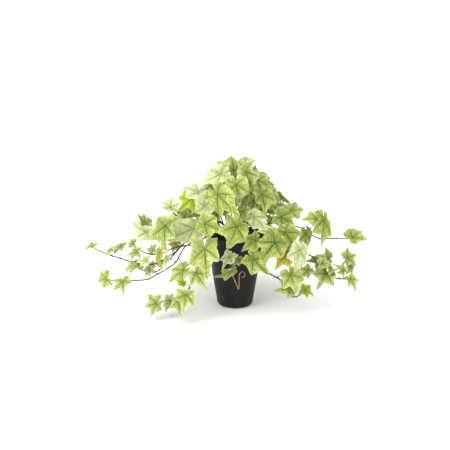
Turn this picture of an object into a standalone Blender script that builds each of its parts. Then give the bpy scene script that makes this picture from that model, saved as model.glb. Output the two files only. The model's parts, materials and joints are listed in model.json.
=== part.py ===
"""A variegated ivy in a black tapered nursery pot.

The pot is one turned and drilled shell, the soil is one plug that fills it, and
each ivy vine that grows out of the soil is one closed solid: its stem, its leaf
stalks and its leaf blades, which grew as one piece. Work is in millimetres up to
the point where a mesh is made, in metres.
"""

import math
import random

import bmesh
import bpy
from mathutils import Matrix, Vector
from mathutils.bvhtree import BVHTree

# ----------------------------------------------------------------- dimensions (mm)
POT_H = 150.0            # pot height
RIM_R = 60.0             # outer radius at the rim
BASE_R = 36.5            # outer radius where the wall meets the rounded foot
WALL = 2.0               # wall thickness
RIM_BAND_H = 8.0         # height of the thickened rim band
RIM_BAND_OUT = 1.2       # how far the band stands proud of the wall
FOOT_ROUND = 9.0         # radius of the rounded foot edge
SOIL_TOP = 138.0         # level of the soil
STEM_DEPTH = 13.0        # how deep a stem sits in the soil
STEM_R_BASE = 1.5        # stem radius at the soil
STEM_R_TIP = 1.1         # stem radius at the growing end
STALK_R = 0.62           # leaf stalk radius
FLOOR_GAP = 2.0          # least height of any leaf above the surface below the pot

# The plant is laid out on a front sheet: u runs to the right and v downwards in
# squares of about 2 mm, seen from an eye 2161 mm away and 15.5 degrees above the
# horizontal, and d is the distance in mm that a point stands in front of the
# pot's axis.
EYE_DIST = 2161.0
EYE_RISE = math.radians(15.5)
SPREAD = 1062.5
CENTRE = 225.0
AIM = Vector((-20.7, 0.0, 168.5))
LOOK = Vector((0.0, math.cos(EYE_RISE), -math.sin(EYE_RISE)))
LIFT = Vector((0.0, math.sin(EYE_RISE), math.cos(EYE_RISE)))
EYE = AIM - LOOK * EYE_DIST


def at(u, v, d):
    """The point (mm) at u, v on the front sheet that stands d in front of the axis."""
    ray = Vector(((u - CENTRE) / SPREAD, 0.0, 0.0)) + LIFT * ((CENTRE - v) / SPREAD) + LOOK
    return EYE + ray * ((-d - EYE.y) / ray.y)


def on_sheet(p):
    rel = p - EYE
    depth = rel.dot(LOOK)
    return CENTRE + SPREAD * rel.x / depth, CENTRE - SPREAD * rel.dot(LIFT) / depth


def pot_outer(z):
    """Outer radius of the pot's wall at height z."""
    t = max(0.0, min(1.0, z / POT_H))
    return BASE_R + (RIM_R - BASE_R) * t


# Places where the plant stays open to view from the front: u0, v0, u1, v1.
WINDOWS = [
    (161, 248, 187, 263), (192, 214, 203, 224), (224, 216, 231, 223),
    (268, 226, 275, 231), (294, 217, 301, 246), (309, 223, 319, 236),
    (186, 262, 199, 267), (269, 271, 283, 278), (203, 232, 209, 246),
    (176, 198, 187, 204),
]

# Each vine: its way points u, v, d on the front sheet, then its leaves. A leaf is
# u, v where the stalk meets the blade, u, v of its tip, d at the stalk, how far the
# tip stands further forward, its roll about the midrib in degrees, how full its
# outline is (0 star, 1 full) and its tint: n variegated, p pale, d deep green,
# y yellowed, b bright.
FRONT_VINES = [
    ("vine_left_low",
     [(206, 236, 60), (195.3, 247.3, 70), (187.5, 244.5, 66), (180.8, 253.3, 62), (175.7, 262.4, 58),
      (168.6, 267.6, 54), (154.8, 275.7, 48), (148, 279.3, 45), (131, 280.4, 38), (118.4, 280.4, 32), (109, 280.2, 28)],
     [(106, 278.5, 94.5, 282, 28, 6, 0, .6, "n", 1.0), (123, 281.0, 122.5, 294.5, 38, 6, 5, .4, "n", .95),
      (149.5, 269.5, 142, 277.5, 52, 4, 20, .5, "p", .95), (167.5, 258.5, 162, 271, 60, 5, 35, .6, "p"),
      (183.4, 270.0, 166, 281.8, 78, 8, 12, .6, "n")]),
    ("vine_left_tip",
     [(202, 229, 20), (188, 240, 24), (170, 256, 30), (151.5, 264.5, 36), (140, 262.5, 38), (130.6, 261.5, 37),
      (121, 258.5, 36), (109.7, 255.1, 33), (103, 252.3, 31), (98, 250.5, 30), (94.5, 247.8, 30)],
     [(92.3, 246, 80, 245.5, 30, 5, 55, .1, "n"), (111, 250, 102.5, 257, 37, 6, 10, .6, "n", 1.0),
      (121, 246.2, 110, 246.0, 34, 8, 42, .6, "n", 1.0), (137, 251.5, 124.5, 253.5, 42, 4, 15, .6, "n", .9),
      (139, 264.5, 122, 266.8, 50, 2, 42, .6, "n", .9), (146.5, 260.5, 135, 261, 48, 5, 25, .5, "p", .9)]),
    ("vine_left_mid",
     [(204, 226, 20), (195, 238, 22), (187.6, 245.3, 20), (180, 246.3, 18), (168.8, 249.9, 15), (160.6, 254.0, 12),
      (146.4, 253.3, 8), (139.3, 249.7, 6), (134, 246, 5)],
     [(133.5, 243, 126, 242.6, 5, 6, 30, .6, "n", 1.1), (159.6, 251, 156.8, 266.8, 32, 2, 62, .7, "y"),
      (153, 251, 149.5, 241.5, 4, -4, 15, .4, "p"), (194, 228.5, 166.5, 239.5, 50, 0, -4, .9, "p", .62),
      (198, 234, 183.5, 243, 62, 0, 10, .9, "p", .7)]),
    ("vine_left_upper",
     [(203, 219, 12), (192, 226, 15), (178, 233, 16), (165, 238, 14), (153.5, 239.2, 11), (146.8, 237.6, 9),
      (142.8, 235.6, 8), (139, 233, 7)],
     [(146, 232.5, 125.5, 224.5, 14, 2, -28, .9, "p", .60), (145.3, 223.5, 144.3, 211, 4, -2, 78, .5, "n"),
      (165.5, 225.4, 158.7, 251, 74, 0, 14, .8, "d", .9), (176, 222.5, 160, 218.5, 16, -4, 15, .7, "p"),
      (186, 219, 187, 206, 8, -5, 20, .6, "n")]),
    ("vine_shoulder_left",
     [(206, 213, 0), (193, 217, 0), (181, 217.8, 0), (177, 216.2, 0), (173.4, 213.2, 0), (171.3, 210, 0)],
     [(170.5, 207.5, 171, 196.5, 2, 6, 0, .9, "p", 1.25), (192, 198.5, 179, 211, 22, 4, 0, .5, "b", .95),
      (192, 197, 176, 196.5, -8, 0, 10, .7, "p"), (196, 213, 203, 219, 12, 4, 30, .4, "d")]),
    ("vine_crown_left",
     [(214, 214, 10), (208, 205, 12), (202, 197, 10), (199, 191, 5)],
     [(198.5, 192.5, 182.5, 184.5, 8, 0, 6, .8, "p"), (205, 206.5, 204, 188.5, 45, -2, -6, .9, "p"),
      (216, 190, 202, 179, -10, 0, 10, .8, "n"), (206, 196, 195, 189, 24, 3, -20, .6, "p"), (211, 198, 202.5, 209, 28, 3, 14, .6, "n", .8),
      (225, 168, 214, 166, -16, 0, 16, .7, "p", .8)]),
    ("vine_crown",
     [(236, 214, 0), (238, 200, -2), (240, 186, -4), (243, 174, -5)],
     [(245, 169, 246.5, 154, -6, 0, -8, .8, "n"), (234, 170.5, 216, 159.5, -8, 0, 4, .8, "n"),
      (221.5, 174, 200, 182.5, 12, 2, 0, .8, "p", .70), (246, 171.5, 251, 197, 24, 0, 48, .7, "n"),
      (236.5, 184.5, 240, 206, 52, 4, -6, .8, "n", .86), (229, 178, 222, 192, 24, 6, 10, .6, "n"),
      (244, 163, 255.5, 159, 2, 2, 14, .7, "p"), (241, 177, 231, 188, 36, 4, 12, .7, "p"), (250, 188, 246, 203, 14, 4, -14, .7, "d", .8)]),
    ("vine_crown_right",
     [(252, 214, 0), (257, 203, -4), (259, 194, -8), (258.5, 187.5, -8)],
     [(257, 180, 276, 187.3, 2, 0, -10, .7, "n"), (262, 194, 268, 212.5, 42, 4, 10, .7, "d"),
      (269, 194.5, 283.5, 200.8, 10, 0, -6, .8, "n"), (264, 184, 274, 194, 6, 0, 20, .6, "d"), (252, 174, 257, 164, -12, 0, 10, .7, "n"),
      (254, 187, 250, 205, 26, 2, 30, .6, "n"), (254, 201, 251, 214.5, 24, 2, 8, .7, "n", .8)]),
    ("vine_right_upper",
     [(263, 226, 8), (279, 229.2, 14), (291, 225.8, 16), (300, 227.5, 17), (307.8, 231.7, 16), (320, 239, 12),
      (330.7, 238.4, 8), (343, 238.6, 4), (350, 238.2, 2)],
     [(352.5, 237.3, 363.5, 228, 1, 0, -12, .8, "n", .95), (324, 219.5, 325.5, 243.8, 26, 4, -24, .95, "d", .50),
      (317, 219, 302, 218, 30, 0, 12, .8, "n", .8), (290, 211.5, 305, 208.5, 6, 0, -5, .9, "n", .74),
      (306, 233.5, 307.5, 252, 28, 4, 6, .7, "d")]),
    ("vine_right_face",
     [(257, 222, 28), (266, 224, 44), (274, 223, 50)],
     [(280.3, 216.8, 297, 224, 58, 2, 4, .9, "d"), (254, 217, 268.5, 229.5, 56, 4, 6, .9, "p"),
      (243.5, 210.5, 236, 223.5, 62, 6, -4, .8, "d"), (276, 208, 268, 200, 34, -4, 12, .6, "n")]),
    ("vine_right_front",
     [(257, 240, 76), (263, 258, 86), (268.8, 273.4, 88), (274, 276, 88), (280.2, 279.5, 87), (282.5, 284.9, 86),
      (285.6, 291.8, 85), (291, 296.7, 85), (297.8, 296.4, 84), (301.5, 293.3, 84)],
     [(303.8, 289.8, 315.5, 294.5, 85, 3, -6, .5, "y", .95), (290.5, 288.3, 277, 290.2, 95, 4, 8, .5, "n", .9),
      (290.4, 274.5, 298.5, 291.5, 104, 0, 0, .8, "n"), (287, 251.5, 276, 269.3, 112, 0, 8, .6, "y"),
      (299.5, 250, 296, 272.5, 116, 0, -4, .9, "p")]),
    ("vine_right_low",
     [(264, 236, 46), (286, 250, 54), (300, 266, 58), (310, 270.7, 58), (316.2, 272.3, 58), (333, 277.2, 54),
      (339.2, 278.8, 52), (346.8, 279.2, 50)],
     [(350.2, 278.6, 358.7, 289.8, 50, 3, -8, .5, "n", .95), (326, 273.5, 318.7, 287.8, 66, 4, 4, .5, "n", .95),
      (308.5, 269.5, 299, 277.5, 68, 3, 10, .6, "n"), (318, 261.5, 308.5, 259, 60, 4, 20, .4, "d"),
      (343.5, 271, 336.5, 263, 56, 4, 16, .3, "n")]),
    ("vine_right_mid",
     [(264, 232, 16), (285, 243, 24), (305, 252, 30), (318, 261, 34), (333.8, 270.6, 34), (338, 268.8, 34),
      (343, 263.5, 32), (345.6, 260.6, 32)],
     [(347.4, 258, 359, 252.3, 33, 3, -4, .4, "n", .95), (329, 258, 318, 254.3, 38, 3, 4, .5, "n", .95),
      (322, 263.5, 333, 262, 44, 5, -20, .5, "n", .95), (350.5, 266, 354, 277, 36, 3, 8, .5, "n", .95),
      (331, 268, 322, 266, 50, 6, 30, .5, "n", .95)]),
    ("vine_front_left",
     [(222, 228, 58), (212, 238, 78), (205, 252, 88), (200, 265.5, 92), (196, 274, 94), (194, 280.8, 96),
      (190.5, 286.4, 100), (187, 291.5, 102), (183, 297.5, 104), (176, 300.5, 104), (166, 300.3, 102), (159.8, 302.6, 100)],
     [(156.3, 303.5, 142.5, 306.8, 101, 3, 6, .6, "n", 1.0), (172, 301.5, 159.8, 305, 110, 2, 14, .6, "n", 1.0),
      (179, 300.5, 178.5, 314.6, 118, 0, -4, .5, "n", .95), (186, 294.5, 184.5, 310.5, 136, 0, -16, .6, "n", .95),
      (183.2, 283.5, 176.3, 279.3, 103, 5, 18, .5, "b"), (196.1, 272.7, 204.7, 289.6, 106, 4, 6, .5, "n"),
      (204.6, 248.2, 206.6, 277.5, 122, 0, 2, .6, "n")]),
    ("vine_front_centre",
     [(240, 226, 64), (244, 234, 84), (248, 246, 98), (251, 256, 104)],
     [(236.8, 226.3, 229.6, 248, 112, 0, 0, .9, "d"), (256, 240, 241.5, 250.3, 98, 0, 10, .6, "d"),
      (250.5, 253.5, 240.5, 273.5, 120, 0, -4, .9, "p"), (253, 259, 269.8, 274.8, 110, 0, 8, .7, "d")]),
    ("vine_front_small",
     [(229, 234, 64), (229, 246, 76), (230.3, 258, 80), (231.3, 266, 81)],
     [(230, 256.5, 221.3, 268.8, 88, 4, 18, .5, "p"), (240, 260, 231, 264.5, 78, 3, 12, .4, "n", .9), (231.3, 271.5, 214.3, 280.5, 86, 4, -58, .5, "n", .46),
      (236, 218.5, 231, 226.5, 78, 6, 20, .5, "y")]),
    ("vine_right_wide",
     [(256, 228, 60), (264, 234, 86), (271, 239, 104)],
     [(275.3, 242, 261.5, 262.3, 130, 0, 0, .8, "d"), (285, 232, 297.5, 248.5, 84, 2, 10, .7, "d"),
      (272, 232, 258, 230, 94, 4, 14, .6, "n"), (284, 246, 290, 262, 74, 2, -8, .6, "b")]),
    ("vine_left_face",
     [(224, 224, 44), (214, 222, 56), (208, 221, 62)],
     [(204.5, 223.5, 222, 232, 98, 0, 0, .9, "d"),
      (217, 216, 222, 207, 40, -2, -12, .5, "d")]),
    ("vine_centre",
     [(228, 214, 34), (221, 204, 44), (218, 197, 48)],
     [(217.5, 194, 234, 212.5, 76, 0, 10, .9, "d", .64), (213, 196, 214, 212, 50, 2, -20, .6, "n"),
      (224, 206, 240, 196, 30, -2, 10, .6, "n")]),
]

# Vines of the sides and the back, by rule: compass direction in degrees (0 to the
# right, 90 away from the front), reach, peak and end heights in mm, leaves.
BACK_VINES = [
    ("vine_back_crown_right", 52, 60, 256, 262, 5), ("vine_back_crown_left", 126, 62, 252, 256, 5),
    ("vine_back_shoulder_a", 20, 98, 214, 196, 5), ("vine_back_shoulder_b", 44, 116, 230, 192, 6),
    ("vine_back_shoulder_c", 74, 130, 240, 196, 6), ("vine_back_shoulder_d", 104, 134, 236, 188, 6),
    ("vine_back_shoulder_e", 134, 116, 226, 190, 6), ("vine_back_shoulder_f", 160, 100, 210, 192, 5),
    ("vine_back_trail_a", 33, 160, 192, 104, 6), ("vine_back_trail_b", 62, 184, 200, 84, 7),
    ("vine_back_trail_c", 89, 192, 204, 78, 7), ("vine_back_trail_d", 116, 186, 200, 84, 7),
    ("vine_back_trail_e", 146, 158, 192, 108, 6),
]

# Fine vines added after all the others, laid out in the same way as the front ones.
FINE_VINES = [
    ("vine_left_fine",
     [(204, 224, -8), (190, 237, -6), (177, 251, 0), (166, 263.5, 6), (157, 271.5, 10), (148, 272.2, 12),
      (140, 269.3, 13), (134.5, 267.2, 14)],
     [(131.5, 266.2, 122.5, 269.5, 15, 3, 10, .6, "n", .95), (151.5, 266.5, 146.5, 260, 12, 3, 10, .5, "p", .95),
      (160, 263, 154.5, 257.5, 10, 3, 0, .5, "n", .95), (176, 243, 171, 253, 2, 3, 0, .6, "n", .9)]),
]

STEM_STEP = 4.0                       # spacing of the worked points along a stem
BASE_RADII = (27.0, 19.0, 33.0, 12.0, 23.0)


def smooth_line(points, step):
    """Points every step mm along one smooth curve through the given points."""
    pts = [2 * points[0] - points[1]] + list(points) + [2 * points[-1] - points[-2]]
    dense = []
    for i in range(1, len(pts) - 2):
        p0, p1, p2, p3 = pts[i - 1], pts[i], pts[i + 1], pts[i + 2]
        t0 = 0.0
        t1 = t0 + max(1e-3, (p1 - p0).length) ** 0.5
        t2 = t1 + max(1e-3, (p2 - p1).length) ** 0.5
        t3 = t2 + max(1e-3, (p3 - p2).length) ** 0.5
        for s in range(16):
            t = t1 + (t2 - t1) * s / 16
            a1 = p0 * ((t1 - t) / (t1 - t0)) + p1 * ((t - t0) / (t1 - t0))
            a2 = p1 * ((t2 - t) / (t2 - t1)) + p2 * ((t - t1) / (t2 - t1))
            a3 = p2 * ((t3 - t) / (t3 - t2)) + p3 * ((t - t2) / (t3 - t2))
            b1 = a1 * ((t2 - t) / (t2 - t0)) + a2 * ((t - t0) / (t2 - t0))
            b2 = a2 * ((t3 - t) / (t3 - t1)) + a3 * ((t - t1) / (t3 - t1))
            dense.append(b1 * ((t2 - t) / (t2 - t1)) + b2 * ((t - t1) / (t2 - t1)))
    dense.append(pts[-2].copy())
    out = [dense[0].copy()]
    left = step
    for a, b in zip(dense, dense[1:]):
        run = (b - a).length
        while run >= left and run > 0:
            a = a + (b - a) * (left / run)
            out.append(a.copy())
            run = (b - a).length
            left = step
        left -= run
    if (out[-1] - dense[-1]).length > 0.4 * step:
        out.append(dense[-1])
    return out


class Vine:
    """One vine's stem centre line and leaves; k is the variant of the stem's route."""

    def __init__(self, name, index):
        self.name, self.index = name, index
        self.leaves = []

    def route(self, k):
        raise NotImplementedError

    def line(self, k):
        rnd = random.Random(f"{self.name} route {k}")
        way = self.route(k, rnd)
        first = way[0]
        turn = math.atan2(first.y, first.x)
        turn += math.radians((((k // 5) + 1) // 2) * (6 if (k // 5) % 2 else -6))
        rb = BASE_RADII[(k + self.index) % 5]
        reach = math.hypot(first.x, first.y)
        root = [Vector((rb * math.cos(turn), rb * math.sin(turn), SOIL_TOP - STEM_DEPTH)),
                Vector((rb * math.cos(turn), rb * math.sin(turn), SOIL_TOP)),
                Vector(((rb + 2) * math.cos(turn), (rb + 2) * math.sin(turn), SOIL_TOP + 12))]
        if reach > 58:
            mid = 0.5 * (rb + 50)
            lift = max(POT_H + 10, min(first.z, POT_H + 26) + 1.5 * (k % 4))
            root.append(Vector((mid * math.cos(turn), mid * math.sin(turn), lift)))
        pts = smooth_line(root + way, STEM_STEP)
        for i, p in enumerate(pts):
            r = math.hypot(p.x, p.y)
            need = pot_outer(p.z) + RIM_BAND_OUT + 3.5
            if i > 6 and p.z < POT_H + 4 and 50 < r < need:
                p.x *= need / r
                p.y *= need / r
        for _ in range(2):
            for i in range(5, len(pts) - 1):
                pts[i] = pts[i] * 0.5 + (pts[i - 1] + pts[i + 1]) * 0.25
        return pts


class FrontVine(Vine):
    def __init__(self, name, index, way, leaves):
        super().__init__(name, index)
        self.way = way
        self.leaves = [FrontLeaf(f"{name} leaf {i}", *row) for i, row in enumerate(leaves)]

    def route(self, k, rnd):
        out = []
        for u, v, d in self.way:
            shift = 0.0 if k < 5 else rnd.uniform(-1, 1) * 1.2 * (k // 5)
            out.append(at(u, v, d + shift))
        return out


class BackVine(Vine):
    def __init__(self, name, index, turn, reach, peak, end, count):
        super().__init__(name, index)
        self.turn, self.reach, self.peak, self.end = math.radians(turn), reach, peak, end
        self.leaves = [BackLeaf(f"{name} leaf {i}", self, i, count) for i in range(count)]

    def route(self, k, rnd):
        bend = random.Random(f"{self.name} bend").uniform(-0.16, 0.16)
        out = []
        for t in (0.3, 0.5, 0.68, 0.85, 1.0):
            r = self.reach * (0.35 + 0.65 * (t - 0.3) / 0.7) if self.reach > 100 else 40 + (self.reach - 40) * (t - 0.3) / 0.7
            rise = math.sin(min(1.0, (t - 0.05) / 0.45) * math.pi / 2)
            z = 172 + (self.peak - 172) * rise
            if t > 0.5:
                z = self.peak + (self.end - self.peak) * ((t - 0.5) / 0.5) ** 1.7
            turn = self.turn + bend * (t - 0.3) + rnd.uniform(-0.01, 0.01) * (k // 5)
            z += rnd.uniform(-1, 1) * 0.8 * (k // 5)
            out.append(Vector((r * math.cos(turn), r * math.sin(turn), z)))
        return out


class Frame:
    """A blade's place: junction J, midrib direction a, side b, upper normal n and length."""

    def __init__(self, joint, tip, face, roll, rim, droop, fold, wide=1.0):
        self.joint = joint
        self.a = (tip - joint).normalized()
        self.length = (tip - joint).length
        n = face - self.a * face.dot(self.a)
        self.n = n.normalized()
        turn = Matrix.Rotation(math.radians(roll), 3, self.a)
        self.n = turn @ self.n
        self.b = self.n.cross(self.a)
        self.rim, self.droop, self.fold, self.wide = rim, droop, fold, wide

    def sag(self, x, y):
        """Height of the blade's middle surface over its flat plane, for x, y in blade lengths."""
        return (-self.droop * (x * x + 0.8 * y * y) + self.fold * (math.sqrt(y * y + 0.01) - 0.1))

    def point(self, x, y, lift=0.0):
        y *= self.wide
        return self.joint + self.a * (x * self.length) + self.b * (y * self.length) + self.n * (self.sag(x, y) * self.length + lift)


def blade_outline(full, key):
    """Polar outline of a five-lobed blade about the stalk's end, a little different on every blade and
    on its two sides: angle from the tip in degrees, radius in blade lengths."""
    rnd = random.Random(key + " outline")
    sides = []
    for _ in range(2):
        half = [(27, 0.44 + 0.30 * full, 0.06), (56, 0.78 + 0.07 * full, 0.10), (86, 0.42 + 0.22 * full, 0.08),
                (120, 0.54 + 0.13 * full, 0.12), (154, 0.30 + 0.18 * full, 0.10)]
        sides.append([(angle + rnd.uniform(-4.5, 4.5), r * (1 + rnd.uniform(-vary, vary))) for angle, r, vary in half])
    return [(0, 1.0)] + sides[0] + [(180, 0.085 + 0.02 * full)] + [(-a, r) for a, r in reversed(sides[1])]


class FrontLeaf:
    tries = 200

    def __init__(self, key, ju, jv, tu, tv, d, dt, roll, full, tint, wide=None):
        self.key, self.full, self.tint = key, full, tint
        self.row = (ju, jv, tu, tv, d, dt, roll)
        self.rim = blade_outline(full, key)
        rnd = random.Random(key)
        self.droop, self.fold = rnd.uniform(0.08, 0.26), rnd.uniform(0.06, 0.36)
        self.lean = math.radians(rnd.uniform(14, 40))
        self.yaw = math.radians(max(-34.0, min(34.0, 0.3 * (ju - 235))) + rnd.uniform(-16, 16))
        self.wide = wide or rnd.uniform(0.70, 0.92)
        self.twist = rnd.uniform(-20, 20)
        self.rank = -math.hypot(tu - ju, tv - jv)

    def frame(self, j, vine=None, line=None):
        rnd = random.Random(f"{self.key} try {j}")
        ju, jv, tu, tv, d, dt, roll = self.row
        lean, yaw = self.lean, self.yaw
        roll += self.twist
        if j:
            m = j % 30
            d += 3.0 * ((m + 1) // 2) * (1 if m % 2 else -1)
            roll += rnd.uniform(-10, 10)
            lean += math.radians(rnd.uniform(-10, 10)) * min(2, 1 + j // 30)
            yaw += math.radians(rnd.uniform(-10, 10)) * min(2, 1 + j // 30)
        if j > 60:
            du, dv, less = rnd.uniform(-2.2, 2.2), rnd.uniform(-2.2, 2.2), rnd.uniform(0.74, 0.94)
            ju, jv = ju + du, jv + dv
            tu, tv = ju + (tu + du - ju) * less, jv + (tv + dv - jv) * less
        face = Vector((math.sin(yaw) * math.cos(lean), -math.cos(yaw) * math.cos(lean), math.sin(lean)))
        joint = at(ju, jv, d)
        flat = at(tu, tv, d) - joint
        dt += max(-0.8 * flat.length, min(0.8 * flat.length, face.dot(flat) / (math.cos(yaw) * math.cos(lean)) * -1.0))
        tip = at(tu, tv, d + dt)
        return Frame(joint, tip, face, roll, self.rim, self.droop, self.fold, self.wide)


class BackLeaf:
    tries = 300

    def __init__(self, key, vine, i, count):
        self.key, self.vine, self.i, self.count = key, vine, i, count
        rnd = random.Random(key)
        self.full = rnd.uniform(0.3, 0.95)
        self.tint = rnd.choice("nnnpnddbnp")
        self.rim = blade_outline(self.full, key)
        self.wide = rnd.uniform(0.76, 0.96)
        self.droop, self.fold = rnd.uniform(0.08, 0.26), rnd.uniform(0.06, 0.34)
        self.rank = 1000 + i

    def frame(self, j, vine, line):
        rnd = random.Random(f"{self.key} try {j}")
        start, top = 0.26, len(line) - 1
        t = start + (1 - start) * (self.i + 0.75) / self.count
        at_i = min(top, int(round(t * top)))
        p = line[at_i]
        along = (line[min(top, at_i + 1)] - line[at_i - 1]).normalized()
        out = Vector((math.cos(vine.turn), math.sin(vine.turn), 0))
        side = along.cross(Vector((0, 0, 1)))
        side = side.normalized() if side.length > 0.2 else Vector((-out.y, out.x, 0))
        if self.i % 2:
            side = -side
        if self.i == self.count - 1:
            side *= 0.25
        if j > 40 and rnd.random() < 0.5:
            side = -side
        if j > 90:
            p = line[max(8, min(top, at_i + rnd.choice((-4, -3, -2, 2, 3, 4))))]
        reach = 1.0 + 0.005 * j
        joint = p + (side * rnd.uniform(11, 20) + Vector((0, 0, rnd.uniform(2, 13))) + out * rnd.uniform(2, 9)) * reach
        size = rnd.uniform(36, 56) * (1 - 0.25 * self.i / self.count) * (1 - 0.0018 * j)
        point = (out * rnd.uniform(0.4, 1.0) + side * rnd.uniform(0.2, 0.9) + Vector((0, 0, rnd.uniform(-0.75, 0.05)))).normalized()
        face = (out * rnd.uniform(0.5, 1.1) + Vector((0, 0, rnd.uniform(0.5, 1.0))) + side * rnd.uniform(-0.2, 0.3)).normalized()
        return Frame(joint, joint + point * size, face, rnd.uniform(-14, 14), self.rim, self.droop, self.fold, self.wide)


def stalk_nodes(vine, line, frames):
    """Where on the stem each leaf's stalk starts: a distance along the line, no two nearer than 6 mm."""
    total = STEM_STEP * (len(line) - 1)
    want = []
    for n, frame in enumerate(frames):
        best = min(range(6, len(line)), key=lambda i: (line[i] - frame.joint).length)
        gap = (line[best] - frame.joint).length
        want.append([best * STEM_STEP - min(0.3 * gap, 9.0), n])
    want.sort()
    low = STEM_DEPTH + 11.0
    for i, row in enumerate(want):
        row[0] = max(row[0], low)
        low = row[0] + 6.0
    high = total - 2.2
    for row in reversed(want):
        row[0] = min(row[0], high)
        high = row[0] - 6.0
    out = [0.0] * len(frames)
    for s, n in want:
        out[n] = s
    return out


def line_at(line, s):
    i = max(0, min(len(line) - 2, int(s / STEM_STEP)))
    t = s / STEM_STEP - i
    return line[i] + (line[i + 1] - line[i]) * t


def line_dir(line, s):
    return (line_at(line, s + 2.0) - line_at(line, s - 2.0)).normalized()


def stalk_curve(line, s, frame, count):
    """Points of a leaf stalk from the stem's surface to just under the blade."""
    p0 = line_at(line, s)
    end = frame.joint - frame.n * 0.5
    gap = (end - p0).length
    along = line_dir(line, s)
    aim = (end - p0).normalized()
    lead = (aim - along * (0.5 * aim.dot(along)) + Vector((0, 0, 0.12))).normalized()
    arrive = (frame.a * 0.62 + frame.n * 0.78).normalized()
    p1 = p0 + lead * (0.36 * gap)
    p2 = end - arrive * (0.34 * gap)
    out = []
    for i in range(count + 1):
        t = i / count
        q = 1 - t
        out.append(p0 * q ** 3 + p1 * (3 * q * q * t) + p2 * (3 * q * t * t) + end * t ** 3)
    return out


def stem_radius(s, total):
    return STEM_R_BASE + (STEM_R_TIP - STEM_R_BASE) * max(0.0, min(1.0, s / total)) ** 0.8


def all_vines():
    vines = []
    for name, way, leaves in FRONT_VINES:
        vines.append(FrontVine(name, len(vines), way, leaves))
    for name, turn, reach, peak, end, count in BACK_VINES:
        vines.append(BackVine(name, len(vines), turn, reach, peak, end, count))
    for name, way, leaves in FINE_VINES:
        vines.append(FrontVine(name, len(vines), way, leaves))
    return vines

# ------------------------------------------------------------------- clearances
RING_SIDES = 5
CLEAR = 0.5              # least gap kept between pieces of different vines
BACK_FIELD = [           # where foliage of the back may show from the front
    (150, 226), (164, 219), (178, 210), (186, 192), (200, 177), (216, 163), (235, 158), (254, 160), (269, 173),
    (282, 192), (302, 207), (316, 215), (328, 220), (336, 226), (335, 238), (322, 240), (315, 244), (314, 258),
    (298, 264), (262, 262), (256, 268), (214, 268), (198, 260), (190, 247), (160, 248), (152, 240)]


def inside(u, v, field):
    hit = False
    for (ax, ay), (bx, by) in zip(field, field[1:] + field[:1]):
        if (ay > v) != (by > v) and u < ax + (v - ay) / (by - ay) * (bx - ax):
            hit = not hit
    return hit


def tube_mesh(points, radii, sides):
    """Vertices and faces of a closed round tube along the points."""
    verts, faces = [], []
    normal = None
    for i, p in enumerate(points):
        a = points[max(0, i - 1)]
        b = points[min(len(points) - 1, i + 1)]
        t = (b - a).normalized()
        if normal is None:
            normal = t.orthogonal().normalized()
        normal = (normal - t * normal.dot(t)).normalized()
        side = t.cross(normal)
        for s in range(sides):
            w = 2 * math.pi * s / sides
            verts.append(p + (normal * math.cos(w) + side * math.sin(w)) * radii[i])
    for i in range(len(points) - 1):
        for s in range(sides):
            n = (s + 1) % sides
            faces.append((i * sides + s, i * sides + n, (i + 1) * sides + n, (i + 1) * sides + s))
    last = (len(points) - 1) * sides
    faces.append(tuple(reversed(range(sides))))
    faces.append(tuple(range(last, last + sides)))
    return verts, faces


class Keep:
    """A closed shape that others have to stay clear of."""

    def __init__(self, verts, faces, owner):
        self.lo = Vector([min(v[i] for v in verts) for i in range(3)])
        self.hi = Vector([max(v[i] for v in verts) for i in range(3)])
        self.tree = BVHTree.FromPolygons([tuple(v) for v in verts], faces)
        self.owner = owner

    def hits(self, other):
        for i in range(3):
            if self.lo[i] > other.hi[i] or other.lo[i] > self.hi[i]:
                return False
        return bool(self.tree.overlap(other.tree))


def ring_steps(line, nodes, end=None):
    """Distances along the stem that get a ring: a pair at each node, and more where the line bends."""
    total = end or STEM_STEP * (len(line) - 1)
    fixed = [0.0]
    for s in sorted(nodes):
        fixed += [s - 1.2, s + 1.2]
    if total - fixed[-1] > 1.0:
        fixed.append(total)
    out = [fixed[0]]

    def split(a, b, depth):
        pa, pb = line_at(line, a), line_at(line, b)
        chord = pb - pa
        worst, where = 0.0, None
        steps = max(2, int((b - a) / 2.0))
        for i in range(1, steps):
            s = a + (b - a) * i / steps
            p = line_at(line, s)
            t = max(0.0, min(1.0, (p - pa).dot(chord) / chord.length_squared))
            off = (p - pa - chord * t).length
            if off > worst:
                worst, where = off, s
        if where is not None and b - a > 6.0 and (worst > 0.55 or b - a > 42.0) and depth < 5:
            mid = where if worst > 0.55 else 0.5 * (a + b)
            mid = max(a + 3.0, min(b - 3.0, mid))
            split(a, mid, depth + 1)
            split(mid, b, depth + 1)
        else:
            out.append(b)

    for a, b in zip(fixed, fixed[1:]):
        if b - a <= 2.5:
            out.append(b)
        else:
            split(a, b, 0)
    return out


def stem_keep(line, steps, grow, owner, above=None):
    total = STEM_STEP * (len(line) - 1)
    use = [s for s in steps if above is None or line_at(line, s).z > above]
    pts = [line_at(line, s) for s in use]
    if len(pts) < 2:
        pts = line[-2:]
        use = [total - STEM_STEP, total]
    return Keep(*tube_mesh(pts, [stem_radius(s, total) + grow for s in use], 6), owner)


def stalk_count(line, s, frame):
    gap = (frame.joint - line_at(line, s)).length
    return 2 if gap < 11 else 3


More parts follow.
